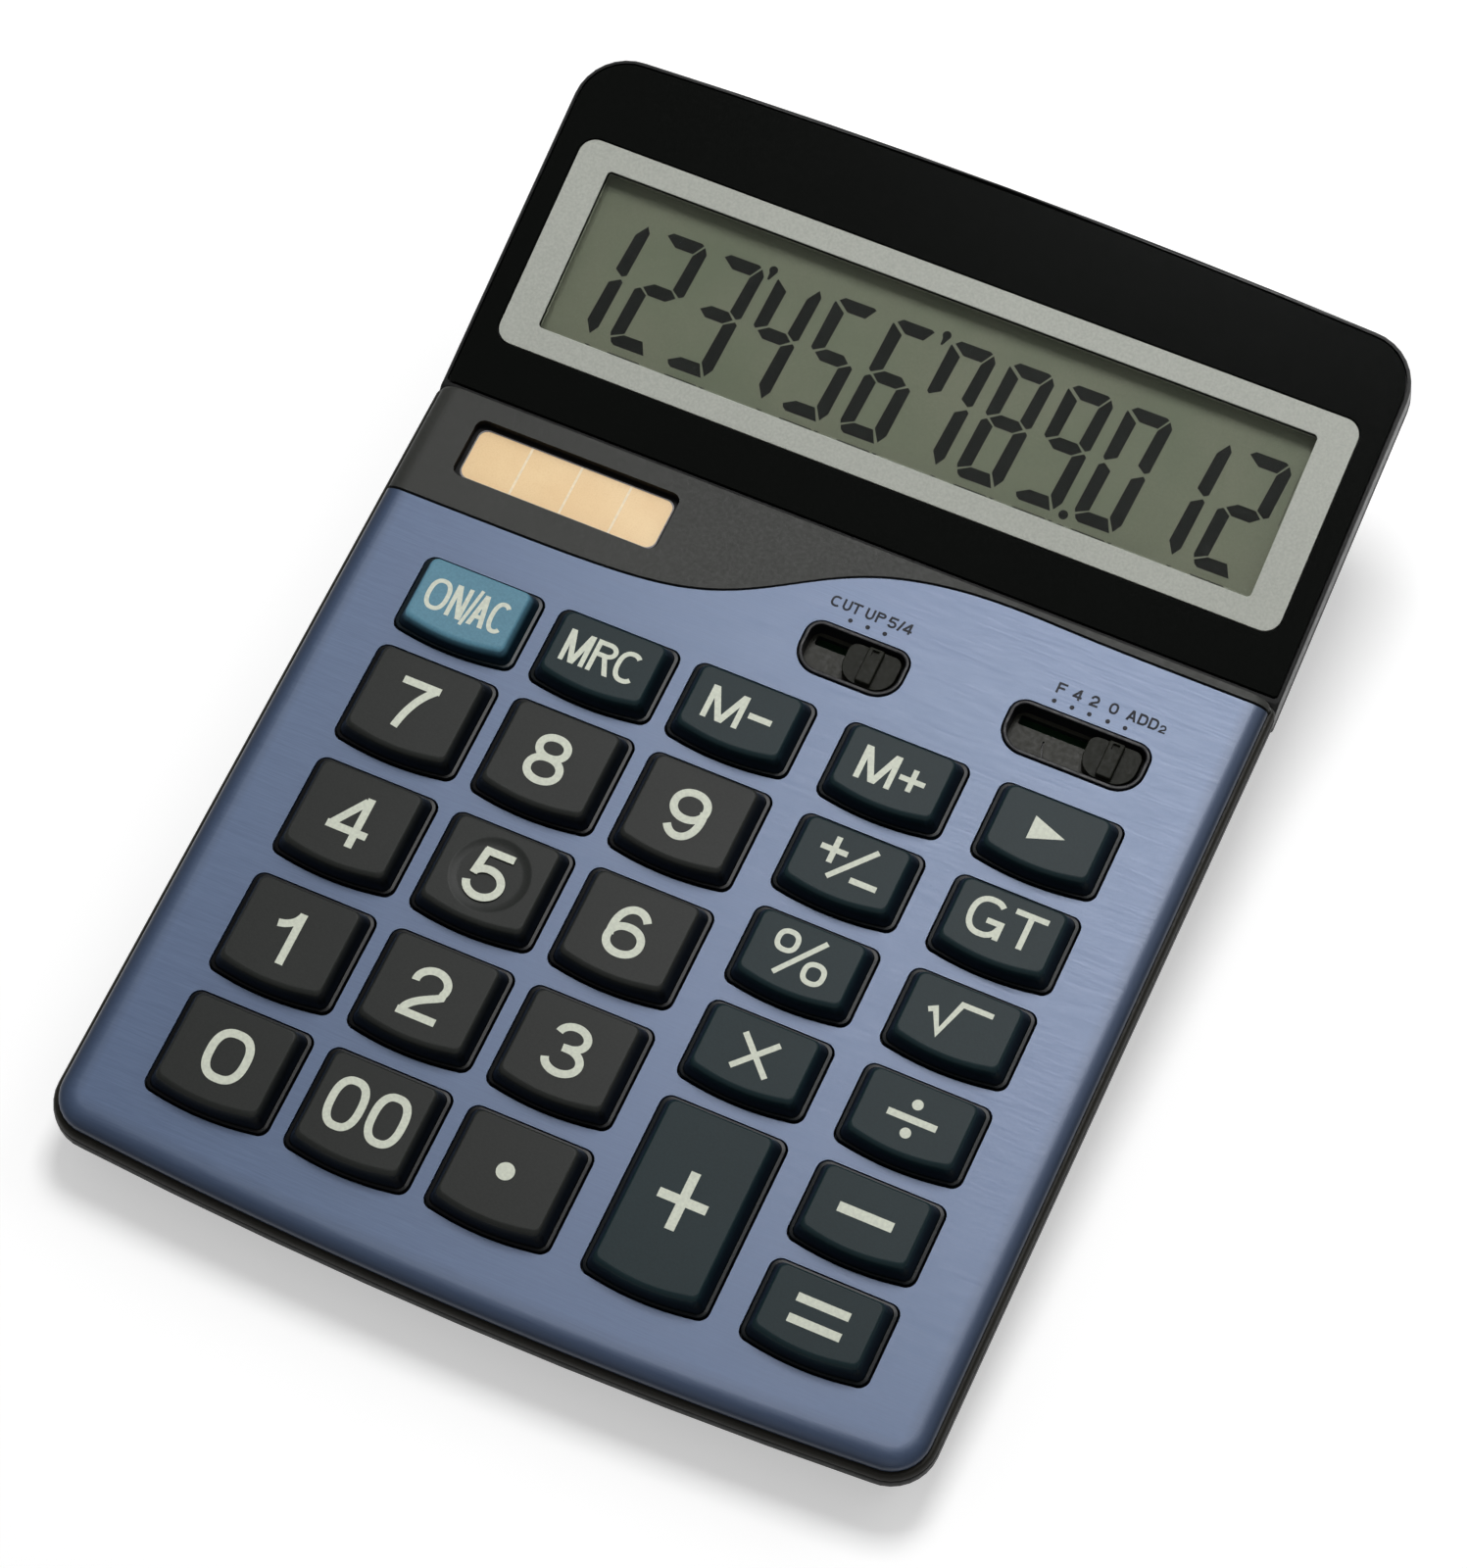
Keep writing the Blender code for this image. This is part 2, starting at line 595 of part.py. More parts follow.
def key_table():
    """Name, hole and finish of each key."""
    keys = {}
    numbers = (("key_7", "key_8", "key_9"), ("key_4", "key_5", "key_6"),
               ("key_1", "key_2", "key_3"), ("key_0", "key_00", "key_decimal_point"))
    for row, names in enumerate(numbers):
        for column, name in enumerate(names):
            keys[name] = (key_hole(column, -NUMBER_PITCH * row, NUMBER_DEPTH), NUMBER_PLASTIC)
    top = ("key_on_ac", "key_memory_recall", "key_memory_minus", "key_memory_plus",
           "key_backspace")
    for column, name in enumerate(top):
        finish = POWER_PLASTIC if column == 0 else FUNCTION_PLASTIC
        keys[name] = (key_hole(column, FUNCTION_TOP_Y, FUNCTION_DEPTH), finish)
    columns = ((3, ("key_sign_change", "key_percent", "key_multiply")),
               (4, ("key_grand_total", "key_square_root", "key_divide", "key_minus",
                    "key_equals")))
    for column, names in columns:
        for row, name in enumerate(names, start=1):
            far = FUNCTION_TOP_Y - FUNCTION_PITCH * row
            keys[name] = (key_hole(column, far, FUNCTION_DEPTH), FUNCTION_PLASTIC)
    far = FUNCTION_TOP_Y - FUNCTION_PITCH * (FUNCTION_ROWS - 2)
    keys["key_plus"] = (key_hole(3, far, TALL_DEPTH), FUNCTION_PLASTIC)
    return keys


def slot_outline(slot, grow=0.0):
    """Outline of a switch slot, rounder at its near corners."""
    left, right, near, far = slot
    return outline(left - grow, right + grow, near - grow, far + grow,
                   SLOT_NEAR_RADIUS + grow, SLOT_FAR_RADIUS + grow)


def solar_outline(grow):
    """Outline of the solar opening or cell."""
    return outline(SOLAR_LEFT - grow, SOLAR_RIGHT + grow, SOLAR_NEAR - grow, SOLAR_FAR + grow,
                   SOLAR_RADIUS, SOLAR_RADIUS)


def head_outline(inset, near):
    """Plan outline of the display head, drawn in by an inset at its sides and far edge."""
    half = HEAD_HALF_WIDTH - inset
    far_radius = max(HEAD_CORNER_RADIUS - inset, NOSE_CORNER_RADIUS)
    return outline(-half, half, near, HEAD_REACH - inset, NOSE_CORNER_RADIUS, far_radius,
                   far_sag=HEAD_SAG)


def head_ring(inset, height):
    """Outer ring of the head at a height, with its near edge on the round nose."""
    near = -math.sqrt(max(NOSE_RADIUS ** 2 - height ** 2, 0.0))
    return level(head_outline(inset, near), height)


def window_outline(grow):
    """Outline of the display window."""
    return outline(-WINDOW_HALF_WIDTH - grow, WINDOW_HALF_WIDTH + grow, WINDOW_NEAR - grow,
                   WINDOW_FAR + grow, WINDOW_RADIUS, WINDOW_RADIUS)


def frame_outline(grow):
    """Outline of the silver frame around the display window."""
    return outline(-FRAME_HALF_WIDTH - grow, FRAME_HALF_WIDTH + grow, FRAME_NEAR - grow,
                   FRAME_FAR + grow, FRAME_RADIUS, FRAME_RADIUS)


def make_opening_cutter():
    """All openings through the plate and the deck: key holes and switch slots."""
    body = bmesh.new()
    for hole, _ in KEYS.values():
        add_prism(body, key_outline(*hole, HOLE_RADIUS), DECK_BOTTOM_Z - OVERRUN, OVERRUN)
    for slot in (ROUNDING_SLOT, DECIMAL_SLOT):
        add_prism(body, slot_outline(slot), DECK_BOTTOM_Z - OVERRUN, OVERRUN)
    return make_cutter("opening_cutter", body, CASE)


def make_seat_cutter():
    """Round seat for the nose of the head, about the hinge axis."""
    body = bmesh.new()
    reach = CASE_WIDTH / 2 + OVERRUN
    add_bar(body, -reach, reach, HINGE_Y, HINGE_Z, NOSE_RADIUS + SEAT_CLEARANCE, FINE_SEGMENTS)
    return make_cutter("seat_cutter", body, CASE)


def make_face_plate(openings):
    """Blue metal plate: an open rolled sheet with thickness, cut along the joint line."""
    body = bmesh.new()
    add_loft(body, plate_rings(CASE_REAR_Y + OVERRUN), closed_bottom=False)
    plate = make_piece("face_plate", body, CASE, BLUE_METAL)
    wall = plate.modifiers.new("thickness", "SOLIDIFY")
    wall.thickness = PLATE_THICKNESS
    wall.offset = -1.0
    wall.use_even_offset = True
    behind = bmesh.new()
    add_prism(behind, curve_region(-CURVE_GAP / 2), -PLATE_DROP - OVERRUN, OVERRUN)
    combine(plate, make_cutter("plate_curve_cutter", behind, CASE), "DIFFERENCE")
    combine(plate, openings, "DIFFERENCE")


def make_top_case(openings, seat):
    """Upper shell: a deck under the plate, a flush strip behind the joint line, a lip over
    the hinge, bosses for the closing screws and posts for the circuit board."""
    under = PLATE_THICKNESS + GAP
    body = bmesh.new()
    rings = [level(case_outline(PARTING_INSET, CASE_REAR_Y), PARTING_Z),
             level(case_outline(TOP_WALL_INSET, CASE_REAR_Y), (PARTING_Z - PLATE_DROP) / 2),
             level(case_outline(TOP_RIM_INSET, CASE_REAR_Y), -PLATE_DROP - GAP)]
    for rise, run in PLATE_ROLL_SHARES:
        inset = PLATE_EDGE_INSET + run * PLATE_ROLL_WIDTH + under
        height = -PLATE_DROP - GAP + rise * (PLATE_DROP + GAP + DECK_TOP_Z)
        rings.append(level(case_outline(inset, CASE_REAR_Y), height))
    add_loft(body, rings)
    case = make_piece("top_case", body, CASE, BLACK_PLASTIC)

    strip = bmesh.new()
    skirt = level(case_outline(PLATE_EDGE_INSET, CASE_REAR_Y), -PLATE_DROP - 2 * GAP)
    add_loft(strip, [skirt] + plate_rings(CASE_REAR_Y))
    strip_helper = make_cutter("strip_helper", strip, CASE)
    behind = bmesh.new()
    add_prism(behind, curve_region(CURVE_GAP / 2), -PLATE_DROP - OVERRUN, OVERRUN)
    combine(strip_helper, make_cutter("strip_curve_helper", behind, CASE), "INTERSECT")
    combine(case, strip_helper, "UNION")

    lip = bmesh.new()
    half = CASE_WIDTH / 2 - PLATE_EDGE_INSET
    add_box(lip, -half, half, CASE_REAR_Y - LIP_WIDTH, CASE_REAR_Y - GAP / 10,
            DECK_BOTTOM_Z + GAP, LIP_HEIGHT)
    combine(case, make_cutter("lip_helper", lip, CASE), "UNION")

    cavity = bmesh.new()
    inner = case_outline(PARTING_INSET + WALL, CAVITY_REAR_Y)
    add_prism(cavity, inner, PARTING_Z - OVERRUN, DECK_BOTTOM_Z)
    combine(case, make_cutter("top_cavity_cutter", cavity, CASE), "DIFFERENCE")

    bosses = bmesh.new()
    for place in case_screw_places().values():
        add_cylinder(bosses, place, BOSS_MEET_Z, DECK_BOTTOM_Z + GAP, TOP_BOSS_RADIUS)
    for place in board_post_places():
        add_stake(bosses, place)
    combine(case, make_cutter("top_boss_helper", bosses, CASE), "UNION")

    pilots = bmesh.new()
    for place in case_screw_places().values():
        add_cylinder(pilots, place, BOSS_MEET_Z - OVERRUN, BOSS_MEET_Z + SCREW_GRIP + GAP,
                     SCREW_RADIUS + GAP)
    add_prism(pilots, solar_outline(0.0), -SOLAR_RECESS - OVERRUN, OVERRUN)
    combine(case, make_cutter("pilot_cutter", pilots, CASE), "DIFFERENCE")

    pocket = bmesh.new()
    add_prism(pocket, solar_outline(SOLAR_MARGIN + GAP), DECK_BOTTOM_Z - OVERRUN / 2,
              -SOLAR_RECESS)
    combine(case, make_cutter("solar_pocket_cutter", pocket, CASE), "DIFFERENCE")
    combine(case, openings, "DIFFERENCE")
    combine(case, seat, "DIFFERENCE")


def corners(x, front, rear):
    """Four named places in plan, alike on both sides."""
    return {"front_left": (-x, front), "front_right": (x, front),
            "rear_left": (-x, rear), "rear_right": (x, rear)}


def case_screw_places():
    """Four screw places by name."""
    return corners(CASE_SCREW_X, CASE_FRONT_Y + CASE_SCREW_FRONT_INSET,
                   CASE_REAR_Y - CASE_SCREW_REAR_INSET)


def make_bottom_case(seat):
    """Lower shell: a band under the parting line, a chamfer and a tub down to a level
    underside, with screw bosses, foot recesses, the battery well and hinge knuckles."""
    tub = CHAMFER_INSET + BAND_EASE
    body = bmesh.new()
    rings = [under_ring(tub + TUB_DRAFT + FLOOR_EDGE, 0.0, CASE_REAR_Y),
             under_ring(tub + TUB_DRAFT, FLOOR_EDGE, CASE_REAR_Y)]
    for inset, height in ((tub, BAND_BOTTOM_Z - BAND_EASE - CHAMFER_DEPTH),
                          (BAND_EASE, BAND_BOTTOM_Z - BAND_EASE), (0.0, BAND_BOTTOM_Z),
                          (0.0, BAND_TOP_Z), (PARTING_INSET, PARTING_Z - GAP)):
        rings.append(level(case_outline(inset, CASE_REAR_Y), height))
    add_loft(body, rings)
    case = make_piece("bottom_case", body, CASE, GREY_PLASTIC)

    cavity = bmesh.new()
    inner = [under_ring(tub + TUB_DRAFT + WALL, WALL, CAVITY_REAR_Y)]
    for inset, height in ((tub + WALL, BAND_BOTTOM_Z - BAND_EASE - CHAMFER_DEPTH),
                          (BAND_EASE + WALL, BAND_BOTTOM_Z - BAND_EASE),
                          (BAND_EASE + WALL, PARTING_Z + OVERRUN)):
        inner.append(level(case_outline(inset, CAVITY_REAR_Y), height))
    add_loft(cavity, inner)
    combine(case, make_cutter("bottom_cavity_cutter", cavity, CASE), "DIFFERENCE")

    bosses = bmesh.new()
    for place in case_screw_places().values():
        depth = floor_height(place[1], WALL / 2)
        add_cylinder(bosses, place, depth, BOSS_MEET_Z - GAP, CASE_BOSS_RADIUS)
    combine(case, make_cutter("case_boss_helper", bosses, CASE), "UNION")
    holder = bmesh.new()
    outer = COVER_RADIUS + COVER_LUG_REACH + HOLDER_GAP + HOLDER_WALL
    add_cylinder(holder, BATTERY_PLACE, FLOOR_OUTER + WALL / 2, CELL_TOP, outer,
                 segments=FINE_SEGMENTS)
    combine(case, make_cutter("battery_holder_helper", holder, BASE), "UNION")

    bores = bmesh.new()
    for place in case_screw_places().values():
        ledge = BOSS_MEET_Z - GAP - SCREW_LEDGE
        bottom = floor_height(place[1], -OVERRUN)
        add_turned(bores, place, ((SCREW_HEAD_RADIUS + GAP, bottom),
                                  (SCREW_HEAD_RADIUS + GAP, ledge), (SCREW_RADIUS + GAP, ledge),
                                  (SCREW_RADIUS + GAP, BOSS_MEET_Z + OVERRUN)))
    bore_cutter = make_cutter("case_bore_cutter", bores, CASE)
    combine(case, bore_cutter, "DIFFERENCE")

    wells = bmesh.new()
    for place in foot_places().values():
        add_cylinder(wells, place, FLOOR_OUTER - OVERRUN, FLOOR_OUTER + FOOT_RECESS,
                     FOOT_RADIUS + GAP)
    add_turned(wells, BATTERY_PLACE, ((COVER_RADIUS + GAP, FLOOR_OUTER - OVERRUN),
                                      (COVER_RADIUS + GAP, FLOOR_INNER),
                                      (outer - HOLDER_WALL, FLOOR_INNER),
                                      (outer - HOLDER_WALL, CELL_TOP + OVERRUN)), FINE_SEGMENTS)
    combine(case, make_cutter("well_cutter", wells, BASE), "DIFFERENCE")

    notches = bmesh.new()
    add_lugs(notches, COVER_TURN, COVER_RADIUS + COVER_LUG_REACH + GAP,
             2 * COVER_LUG_HALF_ANGLE, FLOOR_OUTER - OVERRUN, FLOOR_INNER + GAP)
    notch_cutter = make_cutter("lug_notch_cutter", notches, BASE, (*BATTERY_PLACE, 0.0))
    combine(case, notch_cutter, "DIFFERENCE")
    combine(case, seat, "DIFFERENCE")

    knuckles = bmesh.new()
    for side in (-1, 1):
        centre = side * KNUCKLE_X
        add_knuckle(knuckles, centre - KNUCKLE_HALF_WIDTH, centre + KNUCKLE_HALF_WIDTH)
    combine(case, make_cutter("knuckle_helper", knuckles, CASE), "UNION")
    passages = bmesh.new()
    for side in (-1, 1):
        centre = side * KNUCKLE_X
        reach = KNUCKLE_HALF_WIDTH + OVERRUN
        add_bar(passages, centre - reach, centre + reach, HINGE_Y, HINGE_Z, PIN_RADIUS + GAP)
    room = RIBBON_HALF_WIDTH + RIBBON_ROOM
    add_box(passages, -room, room, CAVITY_REAR_Y - OVERRUN, CASE_REAR_Y,
            HINGE_Z - 2 * RIBBON_SLOT_HALF_HEIGHT, HINGE_Z + RIBBON_SLOT_HALF_HEIGHT)
    combine(case, make_cutter("hinge_passage_cutter", passages, CASE), "DIFFERENCE")


def floor_height(y, lift):
    """Height in the case frame of the level plane a lift above the underside."""
    return (FLOOR_OUTER + lift - PLATE_HEIGHT - y * math.sin(PLATE_SLOPE)) / math.cos(PLATE_SLOPE)


def foot_places():
    """Four foot places by name."""
    return corners(CASE_WIDTH / 2 - FOOT_SIDE_INSET, CASE_FRONT_Y + FOOT_FRONT_INSET,
                   CASE_REAR_Y - FOOT_REAR_INSET)


def add_knuckle(body, x_low, x_high):
    """Round knuckle on the hinge axis with a web down to the rear wall, as one outline:
    round the top of the knuckle, then down the wall and back under it."""
    points = []
    for step in range(ROUND_SEGMENTS + 1):
        angle = WEB_UNDER_ANGLE + (WEB_ANGLE - WEB_UNDER_ANGLE) * step / ROUND_SEGMENTS
        points.append((HINGE_Y + KNUCKLE_RADIUS * math.cos(angle),
                       HINGE_Z + KNUCKLE_RADIUS * math.sin(angle)))
    wall_y = (CAVITY_REAR_Y + CASE_REAR_Y) / 2
    reach = HINGE_Y - wall_y
    points.append((wall_y, HINGE_Z - reach * math.tan(WEB_ANGLE)))
    points.append((wall_y, HINGE_Z - WEB_DEPTH))
    points.append((CASE_REAR_Y + GAP, HINGE_Z - WEB_DEPTH))
    add_loft(body, (across(points, x_low), across(points, x_high)))


def add_lugs(body, turn, reach, width, low, high):
    """Two opposite bayonet lugs as sectors of a ring, rooted well inside the cover."""
    for start in (turn, turn + math.pi):
        angles = [start - width / 2 + width * step / CORNER_STEPS
                  for step in range(CORNER_STEPS + 1)]
        points = [(reach * math.cos(angle), reach * math.sin(angle)) for angle in angles]
        root = COVER_RADIUS / 2
        points += [(root * math.cos(angle), root * math.sin(angle)) for angle in angles[::-1]]
        add_prism(body, points, low, high)


def make_keys():
    """One hard cap for each hole, with its origin on its press axis at the plate."""
    for name, (hole, finish) in KEYS.items():
        left, right, near, far = hole
        centre = ((left + right) / 2, (near + far) / 2)
        side = (right - left) / 2
        depth = (far - near) / 2

        def ring(side_inset, far_inset, near_inset, height):
            radius = max(HOLE_RADIUS - min(side_inset, HOLE_RADIUS / 2), HOLE_RADIUS / 2)
            return level(key_outline(-side + side_inset, side - side_inset, -depth + near_inset,
                                     depth - far_inset, radius), height)

        reach = -KEY_FLANGE_REACH
        slim = KEY_CLEARANCE
        rings = [ring(reach, reach, reach, FLANGE_BOTTOM_Z), ring(reach, reach, reach, FLANGE_TOP_Z),
                 ring(slim, slim, slim, FLANGE_TOP_Z), ring(slim, slim, slim, KEY_SHOULDER),
                 ring(KEY_SIDE_INSET - KEY_EDGE, KEY_FAR_INSET - KEY_EDGE, KEY_NEAR_INSET - KEY_EDGE,
                      KEY_HEIGHT - KEY_EDGE),
                 ring(KEY_SIDE_INSET, KEY_FAR_INSET, KEY_NEAR_INSET, KEY_HEIGHT)]
        body = bmesh.new()
        add_loft(body, rings)
        key = make_piece(name, body, CASE, finish, (*centre, 0.0))
        if name == "key_5":
            dish = bmesh.new()
            add_cylinder(dish, (0.0, 0.0), KEY_HEIGHT - DISH_DEPTH, KEY_HEIGHT + DISH_DEPTH,
                         DISH_RADIUS - DISH_SLOPE, DISH_RADIUS + DISH_SLOPE, FINE_SEGMENTS)
            combine(key, make_cutter("dish_cutter", dish, CASE, (*centre, 0.0)), "DIFFERENCE")


def key_centre(hole):
    """Middle of a key hole."""
    left, right, near, far = hole
    return ((left + right) / 2, (near + far) / 2)


def make_keypad():
    """Rubber sheet with a dome under each key."""
    body = bmesh.new()
    sheet = outline(-SHEET_HALF_WIDTH, SHEET_HALF_WIDTH, SHEET_FRONT_Y, SHEET_REAR_Y,
                    BOARD_CORNER, BOARD_CORNER)
    add_prism(body, sheet, SHEET_TOP_Z - SHEET_THICKNESS, SHEET_TOP_Z)
    keypad = make_piece("rubber_keypad", body, CASE, SILICONE)
    domes = bmesh.new()
    for hole, _ in KEYS.values():
        add_cylinder(domes, key_centre(hole), SHEET_TOP_Z - SHEET_THICKNESS / 2, DOME_TOP_Z,
                     DOME_RADIUS, DOME_TOP_RADIUS, segments=ROUND_SEGMENTS // 2)
    combine(keypad, make_cutter("dome_helper", domes, CASE), "UNION")


def make_main_board():
    """Circuit board on the staked posts, with its covered chip on the underside."""
    body = bmesh.new()
    board = outline(-BOARD_HALF_WIDTH, BOARD_HALF_WIDTH, BOARD_FRONT_Y, BOARD_REAR_Y,
                    BOARD_CORNER, BOARD_CORNER)
    add_prism(body, board, BOARD_BOTTOM_Z, BOARD_TOP_Z)
    piece = make_piece("main_board", body, CASE, BOARD_GREEN)
    holes = bmesh.new()
    for place in board_post_places():
        add_cylinder(holes, place, BOARD_BOTTOM_Z - OVERRUN, BOARD_TOP_Z + OVERRUN,
                     STAKE_RADIUS + GAP, segments=ROUND_SEGMENTS // 2)
    combine(piece, make_cutter("board_hole_cutter", holes, CASE), "DIFFERENCE")

    chip = bmesh.new()
    chip_top = BOARD_BOTTOM_Z - GAP
    place = (CHIP_SHARES[0] * BOARD_HALF_WIDTH, CHIP_SHARES[1] * BOARD_FRONT_Y)
    add_cylinder(chip, place, chip_top - CHIP_THICKNESS, chip_top,
                 CHIP_RADIUS - CHIP_THICKNESS, CHIP_RADIUS, FINE_SEGMENTS)
    make_piece("controller_chip", chip, CASE, BLACK_PLASTIC)


def add_turned(body, place, profile, segments=ROUND_SEGMENTS):
    """Closed turned body: a profile of radius and height, from the bottom up."""
    rings = []
    for radius, height in profile:
        ring = []
        for step in range(segments):
            angle = 2 * math.pi * step / segments
            ring.append((place[0] + radius * math.cos(angle), place[1] + radius * math.sin(angle),
                         height))
        rings.append(ring)
    add_loft(body, rings)


def add_stake(body, place):
    """Post from the deck to the board, its pin through the board and its flattened head."""
    head_top = BOARD_BOTTOM_Z - GAP
    shoulder = BOARD_TOP_Z + GAP
    add_turned(body, place, ((STAKE_RADIUS, head_top - STAKE_HEAD_THICKNESS),
                             (STAKE_HEAD_RADIUS, head_top - STAKE_HEAD_THICKNESS / 2),
                             (STAKE_HEAD_RADIUS, head_top), (STAKE_RADIUS, head_top),
                             (STAKE_RADIUS, shoulder), (BOARD_POST_RADIUS, shoulder),
                             (BOARD_POST_RADIUS, DECK_BOTTOM_Z + GAP)),
               ROUND_SEGMENTS // 2)


def make_case_screws():
    """Screws up through the bottom case into the bosses of the top case."""
    head_top = BOSS_MEET_Z - SCREW_LEDGE - 2 * GAP
    tip = BOSS_MEET_Z + SCREW_GRIP
    profile = ((SCREW_HEAD_RADIUS, head_top - SCREW_HEAD_THICKNESS),
               (SCREW_HEAD_RADIUS, head_top), (SCREW_RADIUS, head_top),
               (SCREW_RADIUS, tip - SCREW_RADIUS), (SCREW_RADIUS / 2, tip))
    for name, place in case_screw_places().items():
        body = bmesh.new()
        add_turned(body, place, profile)
        make_piece("case_screw_" + name, body, CASE, STEEL)


def make_switch(label, slot, steps):
    """Slot guide and sliding knob.  The knob stands at its right end."""
    _, end, near, far = slot
    ridge_x = end - SLOT_RIGHT_ROOM - RIDGE_WIDTH / 2
    middle = (near + far) / 2
    rim = slot_outline(slot, -GAP)
    flange_top = DECK_BOTTOM_Z - GAP
    flange = slot_outline(slot, GUIDE_FLANGE_REACH)
    body = bmesh.new()
    add_loft(body, (level(flange, flange_top - GUIDE_FLANGE_THICKNESS), level(flange, flange_top),
                    level(rim, flange_top), level(rim, SLOT_RIM_PROUD)))
    guide = make_piece(label + "_switch_guide", body, CASE, SWITCH_GREY)
    pocket = bmesh.new()
    add_prism(pocket, slot_outline(slot, -SLOT_RIM), SLOT_FLOOR_Z, OVERRUN)
    combine(guide, make_cutter(label + "_pocket_cutter", pocket, CASE), "DIFFERENCE")
    travel = steps * SWITCH_PITCH
    stem_half = STEM_WIDTH / 2
    stem_near = STEM_BEHIND - STEM_DEPTH / 2
    stem_far = STEM_BEHIND + STEM_DEPTH / 2
    gate = bmesh.new()
    add_box(gate, ridge_x - travel - stem_half - GAP, ridge_x + stem_half + GAP,
            middle + stem_near - GAP, middle + stem_far + GAP,
            flange_top - GUIDE_FLANGE_THICKNESS - OVERRUN, SLOT_FLOOR_Z + OVERRUN)
    combine(guide, make_cutter(label + "_gate_cutter", gate, CASE), "DIFFERENCE")

    slider_low = SLOT_FLOOR_Z + GAP
    slider_top = slider_low + SLIDER_THICKNESS
    half = RIDGE_WIDTH / 2
    side = RIDGE_DEPTH / 2
    origin = (ridge_x, middle, 0.0)
    knob_body = bmesh.new()
    add_box(knob_body, -half, half, -side, side, slider_low, slider_top)
    knob = make_piece(label + "_switch_knob", knob_body, CASE, SWITCH_GREY, origin)
    ridge = bmesh.new()
    ease = half / 4
    lower = outline(-half + GAP / 10, half - GAP / 10, -side + GAP / 10, side - GAP / 10,
                    ease, ease)
    upper = outline(-half + ease, half - ease, -side + ease, side - ease, ease, ease)
    add_loft(ridge, (level(lower, slider_low + GAP), level(lower, RIDGE_TOP_Z - ease),
                     level(upper, RIDGE_TOP_Z)))
    combine(knob, make_cutter(label + "_ridge_helper", ridge, CASE, origin), "UNION")
    lobe = bmesh.new()
    lobe_points = outline(-half - LOBE_REACH, half + LOBE_REACH, -LOBE_DEPTH / 2, LOBE_DEPTH / 2,
                          LOBE_NEAR_RADIUS, LOBE_FAR_RADIUS)
    add_prism(lobe, lobe_points, slider_low + GAP / 2, LOBE_TOP_Z)
    combine(knob, make_cutter(label + "_lobe_helper", lobe, CASE, origin), "UNION")
    stem = bmesh.new()
    add_box(stem, -stem_half, stem_half, stem_near, stem_far,
            BOARD_TOP_Z + GAP, slider_top - GAP)
    combine(knob, make_cutter(label + "_stem_helper", stem, CASE, origin), "UNION")


def make_solar_cell():
    """Cell plate in its pocket behind the opening."""
    body = bmesh.new()
    top = -SOLAR_RECESS - GAP
    add_prism(body, solar_outline(SOLAR_MARGIN), top - SOLAR_THICKNESS, top)
    make_piece("solar_cell", body, CASE, SOLAR_AMBER)


def make_battery():
    """Button cell, its two contact strips and the coin-slot cover, on the base frame."""
    x, y = BATTERY_PLACE
    body = bmesh.new()
    add_cylinder(body, BATTERY_PLACE, CELL_BOTTOM, CELL_TOP, CELL_RADIUS, segments=FINE_SEGMENTS)
    make_piece("battery_cell", body, BASE, STEEL)

    arm_low = CELL_TOP + GAP
    arm_top = arm_low + CONTACT_THICKNESS
    wall = COVER_RADIUS + COVER_LUG_REACH + HOLDER_GAP + HOLDER_WALL
    negative = bmesh.new()
    add_box(negative, x - wall, x + CELL_RADIUS / 4, y - CONTACT_WIDTH / 2, y + CONTACT_WIDTH / 2,
            arm_low, arm_top)
    make_piece("battery_contact_negative", negative, BASE, STEEL)
    leg = CELL_RADIUS + GAP
    profile = ((x + leg, CELL_BOTTOM + GAP), (x + leg + CONTACT_THICKNESS, CELL_BOTTOM + GAP),
               (x + leg + CONTACT_THICKNESS, arm_low), (x + wall, arm_low), (x + wall, arm_top),
               (x + leg, arm_top))
    positive = bmesh.new()
    sides = [[(px, py, pz) for px, pz in profile]
             for py in (y + CONTACT_WIDTH / 2, y - CONTACT_WIDTH / 2)]
    add_loft(positive, sides)
    make_piece("battery_contact_positive", positive, BASE, STEEL)

    cover = bmesh.new()
    lug_low = FLOOR_INNER + GAP
    add_cylinder(cover, (0.0, 0.0), FLOOR_OUTER, COVER_TOP, COVER_RADIUS, segments=FINE_SEGMENTS)
    piece = make_piece("battery_cover", cover, BASE, GREY_PLASTIC, (x, y, 0.0))
    lugs = bmesh.new()
    add_lugs(lugs, 0.0, COVER_RADIUS + COVER_LUG_REACH, 2 * COVER_LUG_HALF_ANGLE, lug_low,
             COVER_TOP - GAP / 3)
    combine(piece, make_cutter("lug_helper", lugs, BASE, (x, y, 0.0)), "UNION")
    slot = bmesh.new()
    add_box(slot, -COIN_SLOT_LENGTH / 2, COIN_SLOT_LENGTH / 2, -COIN_SLOT_WIDTH / 2,
            COIN_SLOT_WIDTH / 2, FLOOR_OUTER - OVERRUN, FLOOR_OUTER + COIN_SLOT_DEPTH)
    combine(piece, make_cutter("coin_slot_cutter", slot, BASE, (x, y, 0.0)), "DIFFERENCE")


def make_feet():
    """Four round rubber feet in their recesses."""
    for name, place in foot_places().items():
        body = bmesh.new()
        add_cylinder(body, place, 0.0, FLOOR_OUTER + FOOT_RECESS - GAP, FOOT_RADIUS)
        make_piece("foot_" + name, body, BASE, RUBBER)


